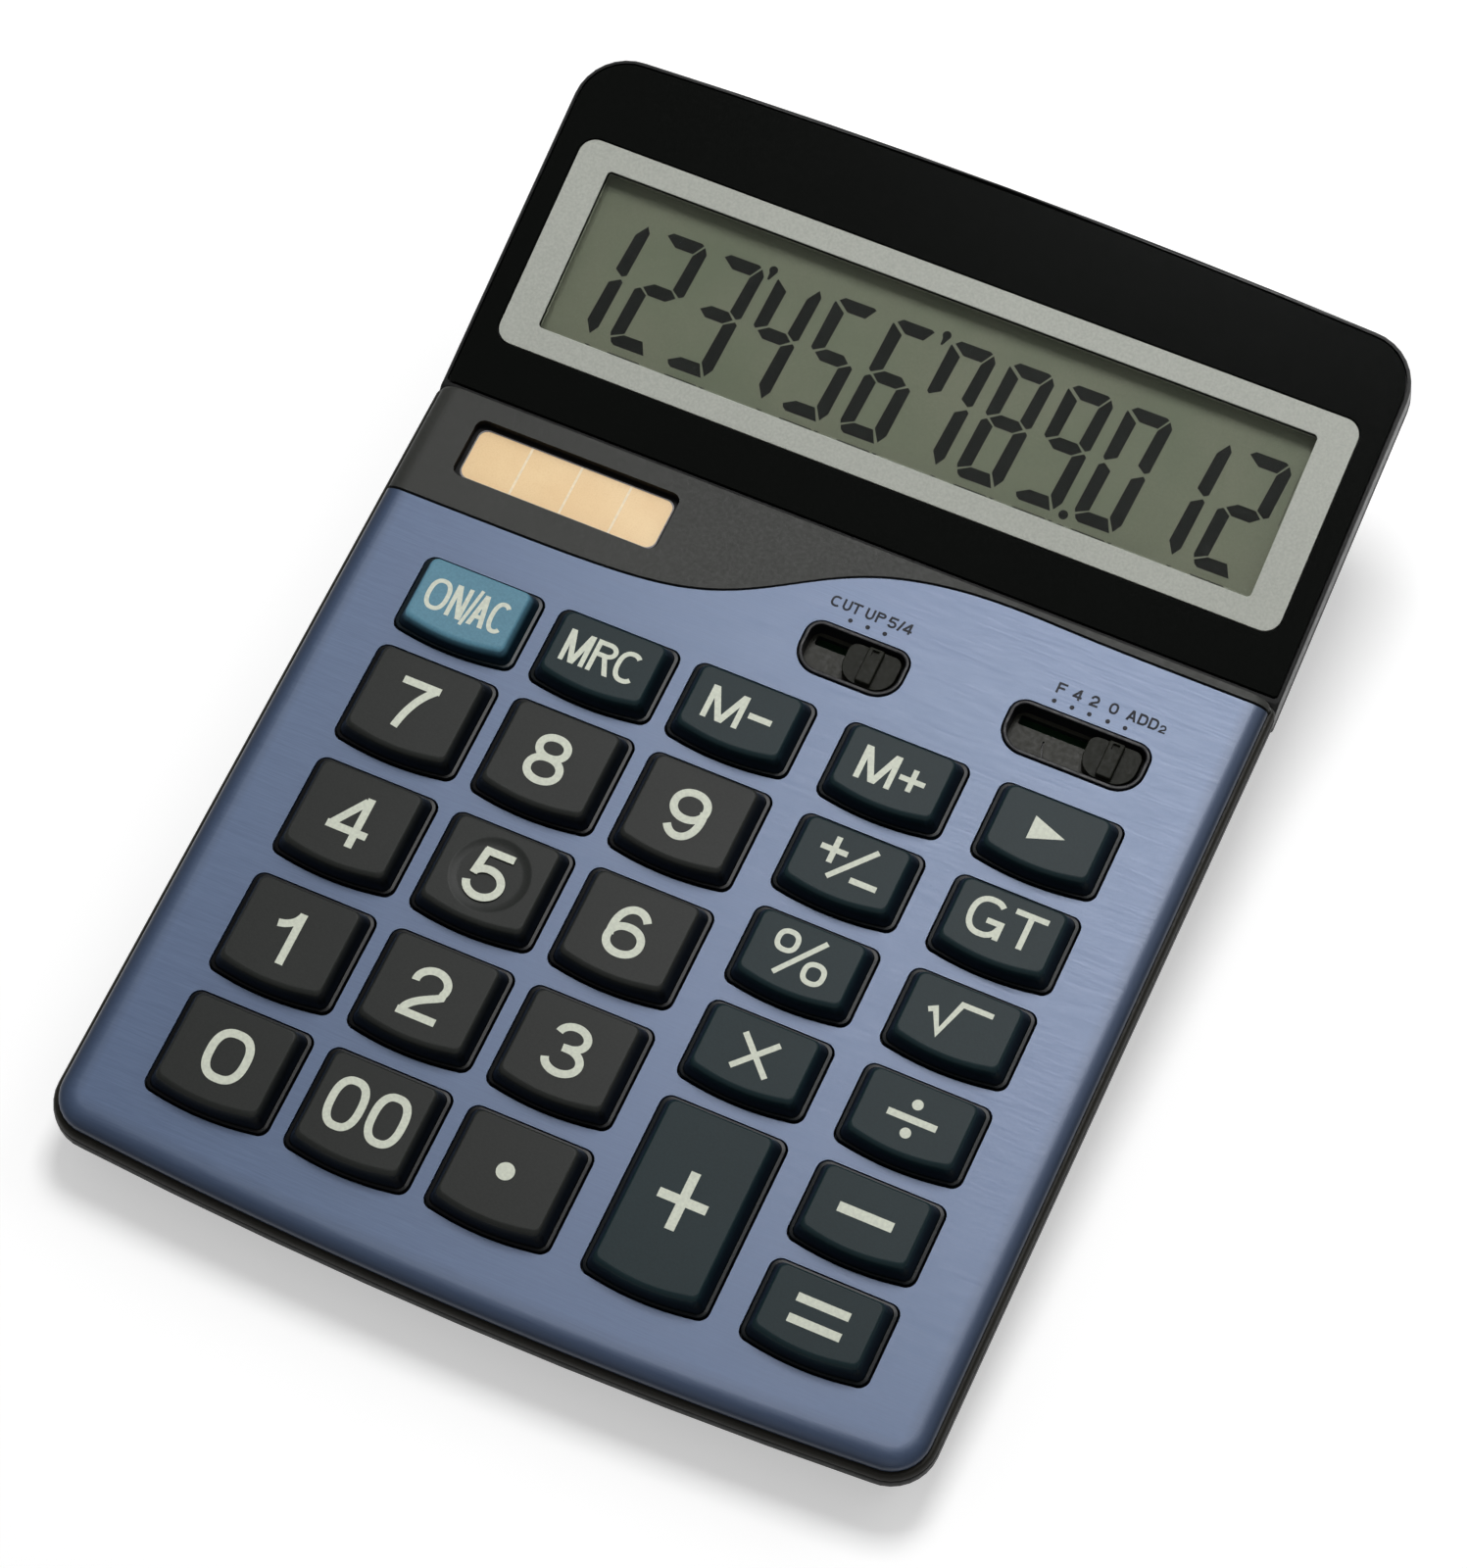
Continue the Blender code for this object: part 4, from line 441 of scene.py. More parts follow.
def brushed_blue():
    """Blue anodised sheet: short fine streaks along x in colour, gloss and height, soft
    clouds, and painted shade, a darker tone towards the rolled rim, from the distance in from
    the sides and from the bowed front edge."""
    nodes = Nodes("brushed_blue_sheet")
    streak_place = nodes.mapped((160.0, 5200.0, 5200.0), (-PLATE_SLOPE, 0.0, 0.0))
    long_place = nodes.mapped((38.0, 2300.0, 2300.0), (-PLATE_SLOPE, 0.0, 0.0))
    streak = nodes.noise(1.0, 3.0, streak_place, 0.65)
    lines = nodes.noise(1.0, 2.0, long_place, 0.5)
    cloud = nodes.noise(11.0, 2.0)
    base = nodes.mix(nodes.spread(streak, 0.0, 1.0), linear((73, 92, 124)),
                     linear((86, 106, 138)))
    base = nodes.mix(nodes.spread(lines, 0.0, 0.3), base, linear((76, 95, 126)))
    base = nodes.mix(nodes.spread(cloud, 0.0, 0.2), base, linear((82, 98, 136)))
    place = nodes.in_case()

    def sums(operation, first, second):
        node = nodes.add("ShaderNodeMath", operation=operation)
        nodes.put(node.inputs[0], first)
        nodes.put(node.inputs[1], second)
        return node.outputs[0]

    out = sums("ABSOLUTE", place["X"], 0.0)
    side = nodes.spread(out, 1.0, 0.0, (CASE_HALF - PLATE_INSET - RIM_SHADE) * MM,
                        (CASE_HALF - PLATE_INSET - 0.4) * MM)
    bow = sums("MULTIPLY", sums("MULTIPLY", out, out),
               CASE_SAG * MM / (CASE_HALF * MM) ** 2)
    along = sums("SUBTRACT", place["Y"], bow)
    front = nodes.spread(along, 0.0, 1.0, (CASE_FRONT + PLATE_INSET + 0.4) * MM,
                         (CASE_FRONT + PLATE_INSET + RIM_SHADE + 1.0) * MM)
    inner = nodes.spread(sums("MULTIPLY", side, front), 0.0, 1.0, 0.0, 1.0)
    soft = sums("POWER", inner, 0.75)
    # Painted shade: dark blue towards the rolled rim at the sides and the front edge.
    base = nodes.mix(soft, linear((36, 48, 68)), base)
    nodes.set(Base_Color=base, Metallic=0.12,
              Roughness=nodes.spread(streak, 0.32, 0.42),
              Normal=nodes.bump(streak, 0.12))
    return nodes.material


def display_glass():
    """Grey green reflective display: fine grain and slow pink and green clouds."""
    nodes = Nodes("display_glass")
    cloud = nodes.noise(60.0, 3.0)
    grain = nodes.noise(2600.0, 1.0)
    base = nodes.mix(nodes.spread(cloud, 0.0, 1.0), linear((103, 110, 91)),
                     linear((113, 116, 99)))
    base = nodes.mix(nodes.spread(grain, 0.0, 0.35), base, linear((94, 100, 82)))
    nodes.set(Base_Color=base, Roughness=0.45)
    nodes.shader.inputs["Specular IOR Level"].default_value = 0.25
    return nodes.material


def clear_pane():
    """Clear glass that lets lamp light through to what lies behind it."""
    nodes = Nodes("clear_window")
    nodes.set(Base_Color=(0.97, 0.98, 0.96, 1), Roughness=0.02, IOR=1.25)
    nodes.shader.inputs["Transmission Weight"].default_value = 1.0
    through = nodes.add("ShaderNodeBsdfTransparent")
    through.inputs["Color"].default_value = (0.97, 0.98, 0.96, 1)
    path = nodes.add("ShaderNodeLightPath")
    mixer = nodes.add("ShaderNodeMixShader")
    either = nodes.add("ShaderNodeMath", operation="MAXIMUM")
    nodes.put(either.inputs[0], path.outputs["Is Shadow Ray"])
    nodes.put(either.inputs[1], path.outputs["Is Diffuse Ray"])
    nodes.put(mixer.inputs[0], either.outputs[0])
    nodes.put(mixer.inputs[1], nodes.shader.outputs[0])
    nodes.put(mixer.inputs[2], through.outputs[0])
    nodes.put(nodes.output.inputs["Surface"], mixer.outputs[0])
    return nodes.material


def solar_sheet():
    """Amber cell strips under glass, with fine pale specks."""
    nodes = Nodes("amber_cell")
    cloud = nodes.noise(120.0, 3.0)
    speck = nodes.noise(3800.0, 1.0)
    base = nodes.mix(nodes.spread(cloud, 0.0, 1.0), linear((240, 202, 144)),
                     linear((246, 212, 156)))
    base = nodes.mix(nodes.spread(speck, 0.0, 0.3, 0.45, 0.75), base, linear((226, 184, 124)))
    nodes.set(Base_Color=base, Roughness=0.35)
    return nodes.material


def metal(name, colour, roughness):
    """Bare metal with fine uneven gloss."""
    nodes = Nodes(name)
    fine = nodes.noise(160.0, 4.0)
    base = linear(colour)
    tint = nodes.mix(nodes.spread(fine, 0.0, 1.0), (*[c * 0.86 for c in base[:3]], 1.0), base)
    nodes.set(Base_Color=tint, Metallic=1.0,
              Roughness=nodes.spread(fine, roughness - 0.06, roughness + 0.08),
              Normal=nodes.bump(fine, 0.08))
    return nodes.material


BLUE = brushed_blue()
GREY_SHELL = moulded("dark_grey_shell", (25, 26, 25), 0.5, 1100.0, specular=0.1)
STRIP = moulded("dark_strip", (50, 51, 48), 0.5, 1500.0, change=0.06, specular=0.25)
# Painted shade: a darker grey for the upper shell's rim under the plate's edge.
RIM_PAINTED_SHADE = moulded("rim_painted_shade", (36, 35, 31), 0.4, 1100.0, specular=0.12)
# Painted shade: black on the walls of openings and round the cell's edge.
PAINTED_SHADE_BLACK = moulded("painted_shade_black", (10, 10, 11), 0.5, 900.0, change=0.05, specular=0.15)
# The second colour of each key is painted shade on its skirt.
NUMBER_KEY = key_finish("number_key", (39, 41, 39), (4, 5, 6), 0.16)
FUNCTION_KEY = key_finish("function_key", (20, 39, 43), (3, 9, 12), 0.16)
POWER_KEY = key_finish("power_key", (92, 139, 159), (2, 20, 27), 0.2)
LEGEND = moulded("legend_print", (212, 217, 200), 0.5, 1800.0, FINE_DEPTH, 0.15, 0.03)
PLATE_PRINT = moulded("plate_print", (20, 23, 34), 0.5, 1800.0, FINE_DEPTH, 0.1, 0.03,
                      specular=0.2)
GLOSS = moulded("gloss_black_front", (6, 8, 6), 0.16, 5200.0, POLISH_DEPTH, 0.02, 0.05, 0.12)
SATIN_BLACK = moulded("satin_black_shell", (17, 18, 18), 0.35, 900.0, change=0.05,
                      specular=0.3)
SILVER = moulded("satin_silver", (178, 181, 172), 0.42, 2200.0, FINE_DEPTH, 0.25, 0.03, 0.4)
DISPLAY = display_glass()
SEGMENT = moulded("display_segment", (8, 11, 9), 0.5, 900.0, FINE_DEPTH, 0.05, 0.05, 0.1)
PANE = clear_pane()
AMBER = solar_sheet()
CELL_LINE = moulded("cell_line", (246, 226, 192), 0.4, 1200.0, FINE_DEPTH, 0.05, 0.02)
# Painted highlight: a pale grey line round the cell's edge.
CELL_EDGE_HIGHLIGHT = moulded("cell_edge_painted_highlight", (120, 116, 118), 0.4, 1200.0, FINE_DEPTH, 0.05, 0.02)
SWITCH = moulded("switch_grey", (30, 31, 25), 0.5, 1300.0, change=0.06, specular=0.12)
# Dark rim colour, which is also painted shade on the pocket's walls and in its groove.
SWITCH_RIM_AND_SHADE = moulded("switch_rim_and_painted_shade", (17, 17, 21), 0.35, 900.0, change=0.05, specular=0.2)
SWITCH_FLOOR = moulded("switch_floor", (40, 40, 33), 0.5, 1300.0, change=0.06, specular=0.25)
RUBBER = moulded("black_rubber", (34, 34, 34), 0.8, 800.0)
SILICONE = moulded("grey_silicone", (120, 122, 124), 0.7, 700.0)
BOARD = moulded("green_board", (38, 84, 50), 0.4, 500.0)
CHIP = moulded("black_resin", (20, 20, 21), 0.3, 300.0)
STEEL = metal("bright_steel", (172, 174, 178), 0.28)
RIBBON = moulded("amber_film", (170, 110, 60), 0.35, 400.0)


# ---- body -----------------------------------------------------------------------------

def case_plan(inset, rear=CASE_REAR):
    """Outline of the body drawn in by an inset at its sides and front."""
    half = CASE_HALF - inset
    return plan(-half, half, CASE_FRONT + inset, rear, max(CASE_CORNER - inset, 1.0),
                CASE_REAR_CORNER, near_sag=CASE_SAG)


def roll(steps=9):
    """Share of rise and of run along the rolled edge: an upright foot, then a quarter
    ellipse, then two flat steps."""
    angle = np.linspace(0.0, math.pi / 2, steps)
    rise = np.concatenate([[0.0], 0.2 + 0.8 * np.sin(angle), [1.0, 1.0]])
    run = np.concatenate([[0.0], 1.0 - np.cos(angle), [1.1, 1.25]])
    return zip(rise.tolist(), run.tolist())


def plate_skin(rear):
    """Rolled outer surface of the plate: its outline drawn in by the run and lifted by the
    rise of each step of the roll."""
    return [level(case_plan(PLATE_INSET + run * PLATE_ROLL, rear), PLATE_DROP * (rise - 1.0))
            for rise, run in roll()]


def joint_line(x):
    """Curved joint up the plate: a soft step, a hyperbolic tangent along x, with a low
    bell-shaped hump on its upper part."""
    step = 0.5 + 0.5 * np.tanh((x - STEP_MIDDLE) / STEP_LENGTH)
    return STEP_LOW + STEP_RISE * step + 0.7 * np.exp(-((x - 27.0) / 15.0) ** 2)


def behind_joint(shift):
    """Plan of everything behind the joint line moved by a shift."""
    half, rear = CASE_HALF + BEYOND, CASE_REAR + 2 * BEYOND
    x = np.linspace(-half, half, 121)
    joint = np.stack([x, joint_line(x) + shift], -1)
    return np.concatenate([joint, [[half, rear], [-half, rear]]])


def key_plan(left, right, near, far, radius):
    """Outline of a key or its hole: a bowed near edge."""
    return plan(left, right, near, far, radius, radius, near_sag=HOLE_SAG, arc=6, bow=14)


def key_holes():
    """Name and hole (left, right, near, far) of each key."""
    holes = {}
    rows = (("key_7", "key_8", "key_9"), ("key_4", "key_5", "key_6"),
            ("key_1", "key_2", "key_3"), ("key_0", "key_00", "key_decimal_point"))
    for row, names in enumerate(rows):
        for column, name in enumerate(names):
            holes[name] = (column, -NUMBER_PITCH * row, NUMBER_DEPTH)
    top = ("key_on_ac", "key_memory_recall", "key_memory_minus", "key_memory_plus",
           "key_backspace")
    for column, name in enumerate(top):
        holes[name] = (column, TOP_ROW_FAR, SMALL_DEPTH)
    fourth = ("key_sign_change", "key_percent", "key_multiply")
    fifth = ("key_grand_total", "key_square_root", "key_divide", "key_minus", "key_equals")
    for column, names in ((3, fourth), (4, fifth)):
        for row, name in enumerate(names, start=1):
            holes[name] = (column, TOP_ROW_FAR - SMALL_PITCH * row, SMALL_DEPTH)
    holes["key_plus"] = (3, TOP_ROW_FAR - SMALL_PITCH * 4, PLUS_DEPTH)
    return {name: (COLUMNS[column], COLUMNS[column] + HOLE_WIDTH, far - depth, far)
            for name, (column, far, depth) in holes.items()}


HOLES = key_holes()
SLOTS = {"rounding": (0.0, 19.1, 23.15, 33.35), "decimal": (37.0, 62.4, 23.15, 33.35)}
SOLAR = (-67.5, -29.35, 33.7, 45.3)


def slot_plan(slot, grow=0.0):
    """Outline of a switch slot, rounder at its near corners."""
    left, right, near, far = slot
    return plan(left - grow, right + grow, near - grow, far + grow, 4.8 + grow, 3.0 + grow,
                arc=12, bow=4)


def solar_plan(grow):
    """Outline of the solar opening."""
    left, right, near, far = SOLAR
    return plan(left - grow, right + grow, near - grow, far + grow, 1.7, 1.7, bow=2)


def openings():
    """Prisms through the plate at every key hole and slot."""
    plans = [key_plan(*hole, HOLE_RADIUS) for hole in HOLES.values()]
    plans += [slot_plan(slot) for slot in SLOTS.values()]
    return join([prism(points, -6.0, THROUGH_HIGH) for points in plans])


def plate_shell():
    """Rolled sheet: the outer skin, and an inner skin one thickness under it, which follow
    the same roll from rim to flat."""
    rear = CASE_REAR + BEYOND
    inner = []
    for rise, run in roll():
        inset = PLATE_INSET + PLATE_THICKNESS + run * (PLATE_ROLL - 0.3)
        inner.append(level(case_plan(inset, rear),
                           PLATE_DROP * (rise - 1.0) - PLATE_THICKNESS * rise))
    return loft(inner[::-1] + plate_skin(rear))


def before_joint(shift):
    """Plan of everything in front of the joint line moved by a shift."""
    half, front = CASE_HALF + BEYOND, CASE_FRONT - 5
    x = np.linspace(half, -half, 121)
    joint = np.stack([x, joint_line(x) + shift], -1)
    return np.concatenate([[[-half, front], [half, front]], joint])


def strip_lip():
    """Bar along the rear of the strip: a hollow curve, half a cosine wave to the power 1.3,
    that rises from the strip into a thin level lip, upright at its rear, carried straight
    along x to both ends."""
    share = np.linspace(0.0, 1.0, 9)
    front = np.column_stack([CASE_REAR - 2.3 + 1.9 * share,
                             -0.06 + 0.48 * (0.5 - 0.5 * np.cos(np.pi * share)) ** 1.3])
    profile = np.concatenate([[[CASE_REAR - 2.3, -2.6]], front,
                              [[CASE_REAR - 0.22, 0.45], [CASE_REAR - 0.06, 0.38],
                               [CASE_REAR - 0.03, 0.25], [CASE_REAR - 0.03, -2.6]]])
    half = CASE_HALF - PLATE_INSET - 0.05
    return loft([np.column_stack([np.full(len(profile), x), profile])
                 for x in (-half, half)])


def upper_shell():
    """Side rim and deck, the flush strip behind the joint line and the lip at its rear."""
    under = PLATE_THICKNESS + GAP
    rim = [level(case_plan(inset), height) for inset, height in
           ((0.1, PARTING), (0.12, PARTING + 0.3), (0.3, -2.7), (0.5, -2.42), (0.75, -2.32))]
    for rise, run in roll(5):
        rim.append(level(case_plan(PLATE_INSET + under + run * PLATE_ROLL),
                         -PLATE_DROP - GAP + rise * (PLATE_DROP + GAP - under)))
    strip = worked(loft([level(case_plan(PLATE_INSET), -2.6)] + plate_skin(CASE_REAR)), CASE,
                   ("DIFFERENCE", prism(before_joint(JOINT_GAP), THROUGH_LOW, 4.0)))
    inside = plan(-CASE_HALF + WALL, CASE_HALF - WALL, CASE_FRONT + WALL, 44.6,
                  CASE_CORNER - WALL, CASE_REAR_CORNER, near_sag=CASE_SAG)
    seat = bar(-CASE_HALF - BEYOND, CASE_HALF + BEYOND, *HINGE, NOSE + 0.4, 96)
    return worked(loft(rim), CASE, ("UNION", strip), ("UNION", strip_lip()),
                  ("DIFFERENCE", prism(inside, THROUGH_LOW, DECK_BOTTOM)),
                  ("DIFFERENCE", prism(solar_plan(0.8), DECK_BOTTOM - 1, -1.5)),
                  ("DIFFERENCE", prism(solar_plan(0.0), -2.0, THROUGH_HIGH)),
                  ("DIFFERENCE", openings()), ("DIFFERENCE", seat))


def upper_paint(at):
    """Darker rim finish under the plate's edge and black inside the cell's opening, both
    painted shade; strip elsewhere.
    """
    rim = (at[:, 2] < -2.2) & (at[:, 1] < 47)
    left, right, near, far = SOLAR
    inside = ((at[:, 0] > left - 0.1) & (at[:, 0] < right + 0.1) & (at[:, 1] > near - 0.1)
              & (at[:, 1] < far + 0.1) & (at[:, 2] < -0.1))
    return np.where(inside, 2, np.where(rim, 1, 0))


beyond_plate = prism(behind_joint(-JOINT_GAP), THROUGH_LOW, THROUGH_HIGH)
piece("blue_face_plate",
      worked(plate_shell(), CASE, ("DIFFERENCE", beyond_plate), ("DIFFERENCE", openings())),
      CASE, "base", BLUE, "blue_plate", ("face_plate",))
piece("upper_shell", upper_shell(), CASE, "base", (STRIP, RIM_PAINTED_SHADE, PAINTED_SHADE_BLACK), "black_plastic",
      ("top_case",), upper_paint)
smoothed("bottom_case", "lower_shell", "base", GREY_SHELL, "grey_plastic")

# Amber cell and its printed lines, with a band of painted shade and a line of painted
# highlight round its edge, each a little higher than what it lies on
CELL_BOTTOM, CELL_TOP = -3.0, -1.8
PRINT_AND_PAINTED_LIGHT_BOTTOM = CELL_TOP - 0.05
LINE_TOP, BORDER_TOP, BORDER_LINE_TOP = -1.78, -1.765, -1.76
LINE_HALF = 0.2
BORDER = 0.72
cell_near, cell_far = SOLAR[2] + 0.75, SOLAR[3] - 0.75
piece("amber_cell_plate", prism(solar_plan(0.5), CELL_BOTTOM, CELL_TOP), CASE, "base", AMBER,
      "solar_amber", ("solar_cell",))
cell_strips = [prism(rectangle(x - LINE_HALF, x + LINE_HALF, cell_near, cell_far),
                     PRINT_AND_PAINTED_LIGHT_BOTTOM, LINE_TOP)
               for x in (-57.04, -47.7, -38.46)]
piece("cell_lines", join(cell_strips), CASE, "base", CELL_LINE, "solar_amber")


def cell_band(outer, inner, height):
    """Flat band of painted light: the opening's outline at two insets, low and high at each.
    """
    return loft([level(solar_plan(-outer), PRINT_AND_PAINTED_LIGHT_BOTTOM), level(solar_plan(-outer), height),
                 level(solar_plan(-inner), height), level(solar_plan(-inner), PRINT_AND_PAINTED_LIGHT_BOTTOM)],
                "ring", "ring")


# Painted shade: a black band round the cell's edge.
piece("cell_border", cell_band(-0.35, BORDER, BORDER_TOP), CASE, "base", PAINTED_SHADE_BLACK,
      "black_plastic")
# Painted highlight: a pale grey line inside the black band.
piece("cell_border_line", cell_band(BORDER, BORDER + 0.2, BORDER_LINE_TOP), CASE, "base",
      CELL_EDGE_HIGHLIGHT, "black_plastic")


# ---- keys -----------------------------------------------------------------------------

def key_shell(hole):
    """Key cap, lofted through outlines drawn in from its hole: flange, upright foot, narrow
    shoulder, a skirt whose inset grows with its height to the power 1.2, and a quarter
    ellipse round to the flat top."""
    left, right, near, far = hole

    def ring(side, back, front, height, radius):
        return level(key_plan(left + side, right - side, near + front, far - back, radius),
                     height)

    flange, foot = [-FLANGE_REACH] * 3, [KEY_GAP] * 3
    low_inset, high_inset = np.array([0.92, 0.8, 0.68]), np.array([2.02, 1.66, 1.3])
    rings = [ring(*flange, FLANGE_BOTTOM, 2.4), ring(*flange, FLANGE_TOP, 2.4),
             ring(*foot, FLANGE_TOP, 1.75), ring(*foot, 0.26, 1.75),
             ring(0.42, 0.42, 0.42, 0.38, 1.7), ring(0.6, 0.58, 0.55, 0.4, 1.6),
             ring(*low_inset, SKIRT_FOOT, 1.45)]
    for share in np.linspace(0.25, 1.0, 4):
        inset = low_inset + share ** 1.2 * (high_inset - low_inset)
        rings.append(ring(*inset, SKIRT_FOOT + share * (KEY_TOP - KEY_EDGE - SKIRT_FOOT), 1.4))
    for angle in np.radians((15.0, 30.0, 45.0, 60.0, 75.0, 90.0)):
        inset = high_inset + np.array([0.55, 0.5, 0.95]) * (1 - math.cos(angle))
        rings.append(ring(*inset, KEY_TOP - KEY_EDGE + math.sin(angle) * KEY_EDGE, 1.25))
    return loft(rings)


def key_dish(hole):
    """Shallow round dish in the top of the middle key: its depth falls with its radius to
    the power 1.6."""
    left, right, near, far = hole
    place = ((left + right) / 2, (near + far) / 2)
    profile = [(5.2 + 1.8 * share, KEY_TOP - 0.3 + 0.3 * share ** 1.6)
               for share in np.linspace(0.0, 1.0, 5)]
    return turned_body(place, profile + [(7.0, KEY_TOP + 1.0)], 72)


NUMBER_KEYS = [name for name in HOLES if name[4:].isdigit() or name == "key_decimal_point"]
for name, hole in HOLES.items():
    shell = key_shell(hole)
    if name == "key_5":
        shell = worked(shell, CASE, ("DIFFERENCE", key_dish(hole)))
    finish, slot = FUNCTION_KEY, "function_key_plastic"
    if name in NUMBER_KEYS:
        finish, slot = NUMBER_KEY, "number_key_plastic"
    elif name == "key_on_ac":
        finish, slot = POWER_KEY, "power_key_plastic"
    piece(name + "_cap", shell, CASE, name + "_body", finish, slot, (name,),
          angle=KEY_SHARP)


# ---- rubber keypad and ribbon ---------------------------------------------------------

SHEET = (-62.5, 62.5, -90.5, 19.5)
SHEET_BOTTOM, SHEET_TOP = -7.8, -7.0
WELL_TOP = -5.8
MOUND = [(4.8, -7.4), (3.97, WELL_TOP)]
WELL = [(3.0, -9.0), (3.0, -5.0)]
CROWN = [(2.4, -6.1), (2.7, -5.9), (2.6, -4.02)]
RIBBON_HALF, RIBBON_THICK = 12.0, 0.3


def hole_middle(name):
    """Middle of a key's opening."""
    left, right, near, far = HOLES[name]
    return (left + right) / 2, (near + far) / 2


def keypad_shell():
    """Sheet with the lower ring of each dome: a cone with a well through it, in which the
    dome's crown sinks when the key goes down."""
    sheet = prism(plan(*SHEET, 2.0, 2.0, bow=4), SHEET_BOTTOM, SHEET_TOP)
    mounds = join([turned_body(hole_middle(name), MOUND) for name in HOLES])
    wells = join([turned_body(hole_middle(name), WELL) for name in HOLES])
    return worked(sheet, CASE, ("UNION", mounds), ("DIFFERENCE", wells))


piece("silicone_keypad", keypad_shell(), CASE, "base", SILICONE, "silicone",
      ("rubber_keypad",))
for name in HOLES:
    piece(name + "_dome", turned_body(hole_middle(name), CROWN), CASE, name + "_body",
          SILICONE, "silicone")


def strap(path_points):
    """Flat strip along x on a path of depth and height, half its thickness up and down."""
    middle = np.array(path_points, float)
    half = [0.0, RIBBON_THICK / 2]
    rim = np.concatenate([middle - half, middle[::-1] + half])
    return loft([np.column_stack([np.full(len(rim), x), rim])
                 for x in (-RIBBON_HALF, RIBBON_HALF)])


# The ribbon dips before the nose, so that the head clears it at its steepest
sag = [(34.67, -7.65), (38.0, -7.65), (39.2, -7.69), (41.0, -7.96), (43.0, -8.38),
       (45.0, -8.71), (46.4, -8.81), (47.66, -8.74), (49.5, -8.0), (52.2, -6.91)]
piece("ribbon_in_base", strap(sag), CASE, "base", RIBBON, "copper_film", ("display_ribbon",))
piece("ribbon_in_head", strap([(0.32, -0.03), (2.8, -0.24), (5.2, -0.55), (6.1, -0.95),
                               (7.1, -1.25), (8.9, -1.25)]),
      HEAD, "display_head", RIBBON, "copper_film")


# ---- legends --------------------------------------------------------------------------

def line(*points):
    """Straight path through points."""
    return np.array(points, float), False


def arc(x, y, across, up, start, end, squareness=2.0, steps=28):
    """Part of a superellipse: cosine and sine of the angle, each to the power two over the
    squareness with its sign kept, times the two half axes."""
    angle = np.radians(np.linspace(start, end, steps + 1))
    c, s = np.cos(angle), np.sin(angle)
    power = 2.0 / squareness
    return np.stack([x + across * np.sign(c) * np.abs(c) ** power,
                     y + up * np.sign(s) * np.abs(s) ** power], -1)


def curve(*points, steps=14):
    """Bezier curve of its control points, by repeated shares between neighbours."""
    points = np.array(points, float)
    share = np.linspace(0.0, 1.0, steps)[:, None]
    while len(points.shape) == 2 or points.shape[0] > 1:
        if len(points.shape) == 2:
            points = points[:, None, :] + np.zeros((1, steps, 1))
        points = points[:-1] * (1 - share) + points[1:] * share
    return points[0]


def path(*parts):
    """Open path from arcs, curves and points one after another."""
    return np.concatenate([np.atleast_2d(part) for part in parts]), False


def ring_path(points):
    """Closed path."""
    return points[:-1], True


def outline(*points):
    """Outline of a filled stroke."""
    return np.array(points, float), None


def ribbon(points, closed, width, low, high):
    """Bar of rectangular section carried along a plan path: at each point the two sides
    stand half a width off along the mean of the two neighbouring normals, mitred."""
    points = np.asarray(points, float)
    if closed:
        ahead, behind = np.roll(points, -1, 0) - points, points - np.roll(points, 1, 0)
    else:
        step = np.diff(points, axis=0)
        ahead, behind = np.vstack([step, step[-1:]]), np.vstack([step[:1], step])
    unit = lambda v: v / np.maximum(np.linalg.norm(v, axis=1, keepdims=True), 1e-9)
    side_ahead, side_behind = (unit(v)[:, ::-1] * [-1, 1] for v in (ahead, behind))
    middle = unit(side_ahead + side_behind)
    reach = width / 2 / np.maximum((middle * side_ahead).sum(1, keepdims=True), 0.5)
    left, right = points + middle * reach, points - middle * reach
    sections = np.stack([level(left, low), level(left, high), level(right, high),
                         level(right, low)], 1)
    return loft(sections, *(("ring", "ring") if closed else ("flat", "flat")))


def digit(name, w, h, s):
    """Paths of a plain upright digit in a box."""
    t = s / 2
    l, r, m, top = t, w - t, w / 2, h - t
    if name == "0":
        return [ring_path(arc(m, h / 2, r - m, top - h / 2, 0, 360, 2.5, 56))]
    if name == "1":
        return [line((w - t, 0), (w - t, h)),
                path(curve((w - t, h - 0.25), (w - 1.2, h - 2.5), (0.0, h - 2.93)))]
    if name == "2":
        return [path(arc(m, top - 2.35, r - m, 2.35, 186, -22),
                     curve((m + 2.5, top - 3.9), (m + 1.0, 4.1), (l + 0.25, 2.9),
                           (l + 0.1, t))),
                line((0.0, t), (w, t))]
    if name == "3":
        return [path(arc(m - 0.1, top - 1.95, r - m - 0.35, 1.95, 172, -90), (m - 1.0, 5.05)),
                path((m - 0.6, 5.05), arc(m - 0.05, t + 2.2, r - m + 0.05, 2.2, 90, -172))]
    if name == "4":
        return [line((5.15, 0.0), (5.15, h)), line((0.0, 2.85), (w, 2.85)),
                line((4.75, h - 0.7), (0.75, 3.0))]
    if name == "5":
        return [line((1.2, top), (w - 0.55, top)), line((1.75, h - 0.4), (1.15, 4.3)),
                path((1.05, 4.7), arc(m - 0.05, t + 2.55, r - m + 0.05, 2.55, 140, -172))]
    if name == "6":
        return [ring_path(arc(m, t + 2.45, r - m, 2.45, 0, 360, 2.1, 48)),
                path(arc(m + 0.1, h / 2, r - m, h / 2 - t, 38, 200, 2.1))]
    if name == "7":
        return [line((0.0, top), (w, top)),
                path(curve((w - 0.75, h - 0.9), (3.0, 5.6), (2.2, 0.0)))]
    if name == "8":
        waist = 5.05
        return [ring_path(arc(m, (top + waist) / 2, 6.2 / 2 - t, (top - waist) / 2, 0, 360,
                              2.1, 40)),
                ring_path(arc(m, (t + waist) / 2, r - m, (waist - t) / 2, 0, 360, 2.1, 44))]
    return [(np.array([w, h]) - points, closed) for points, closed in digit("6", w, h, s)]


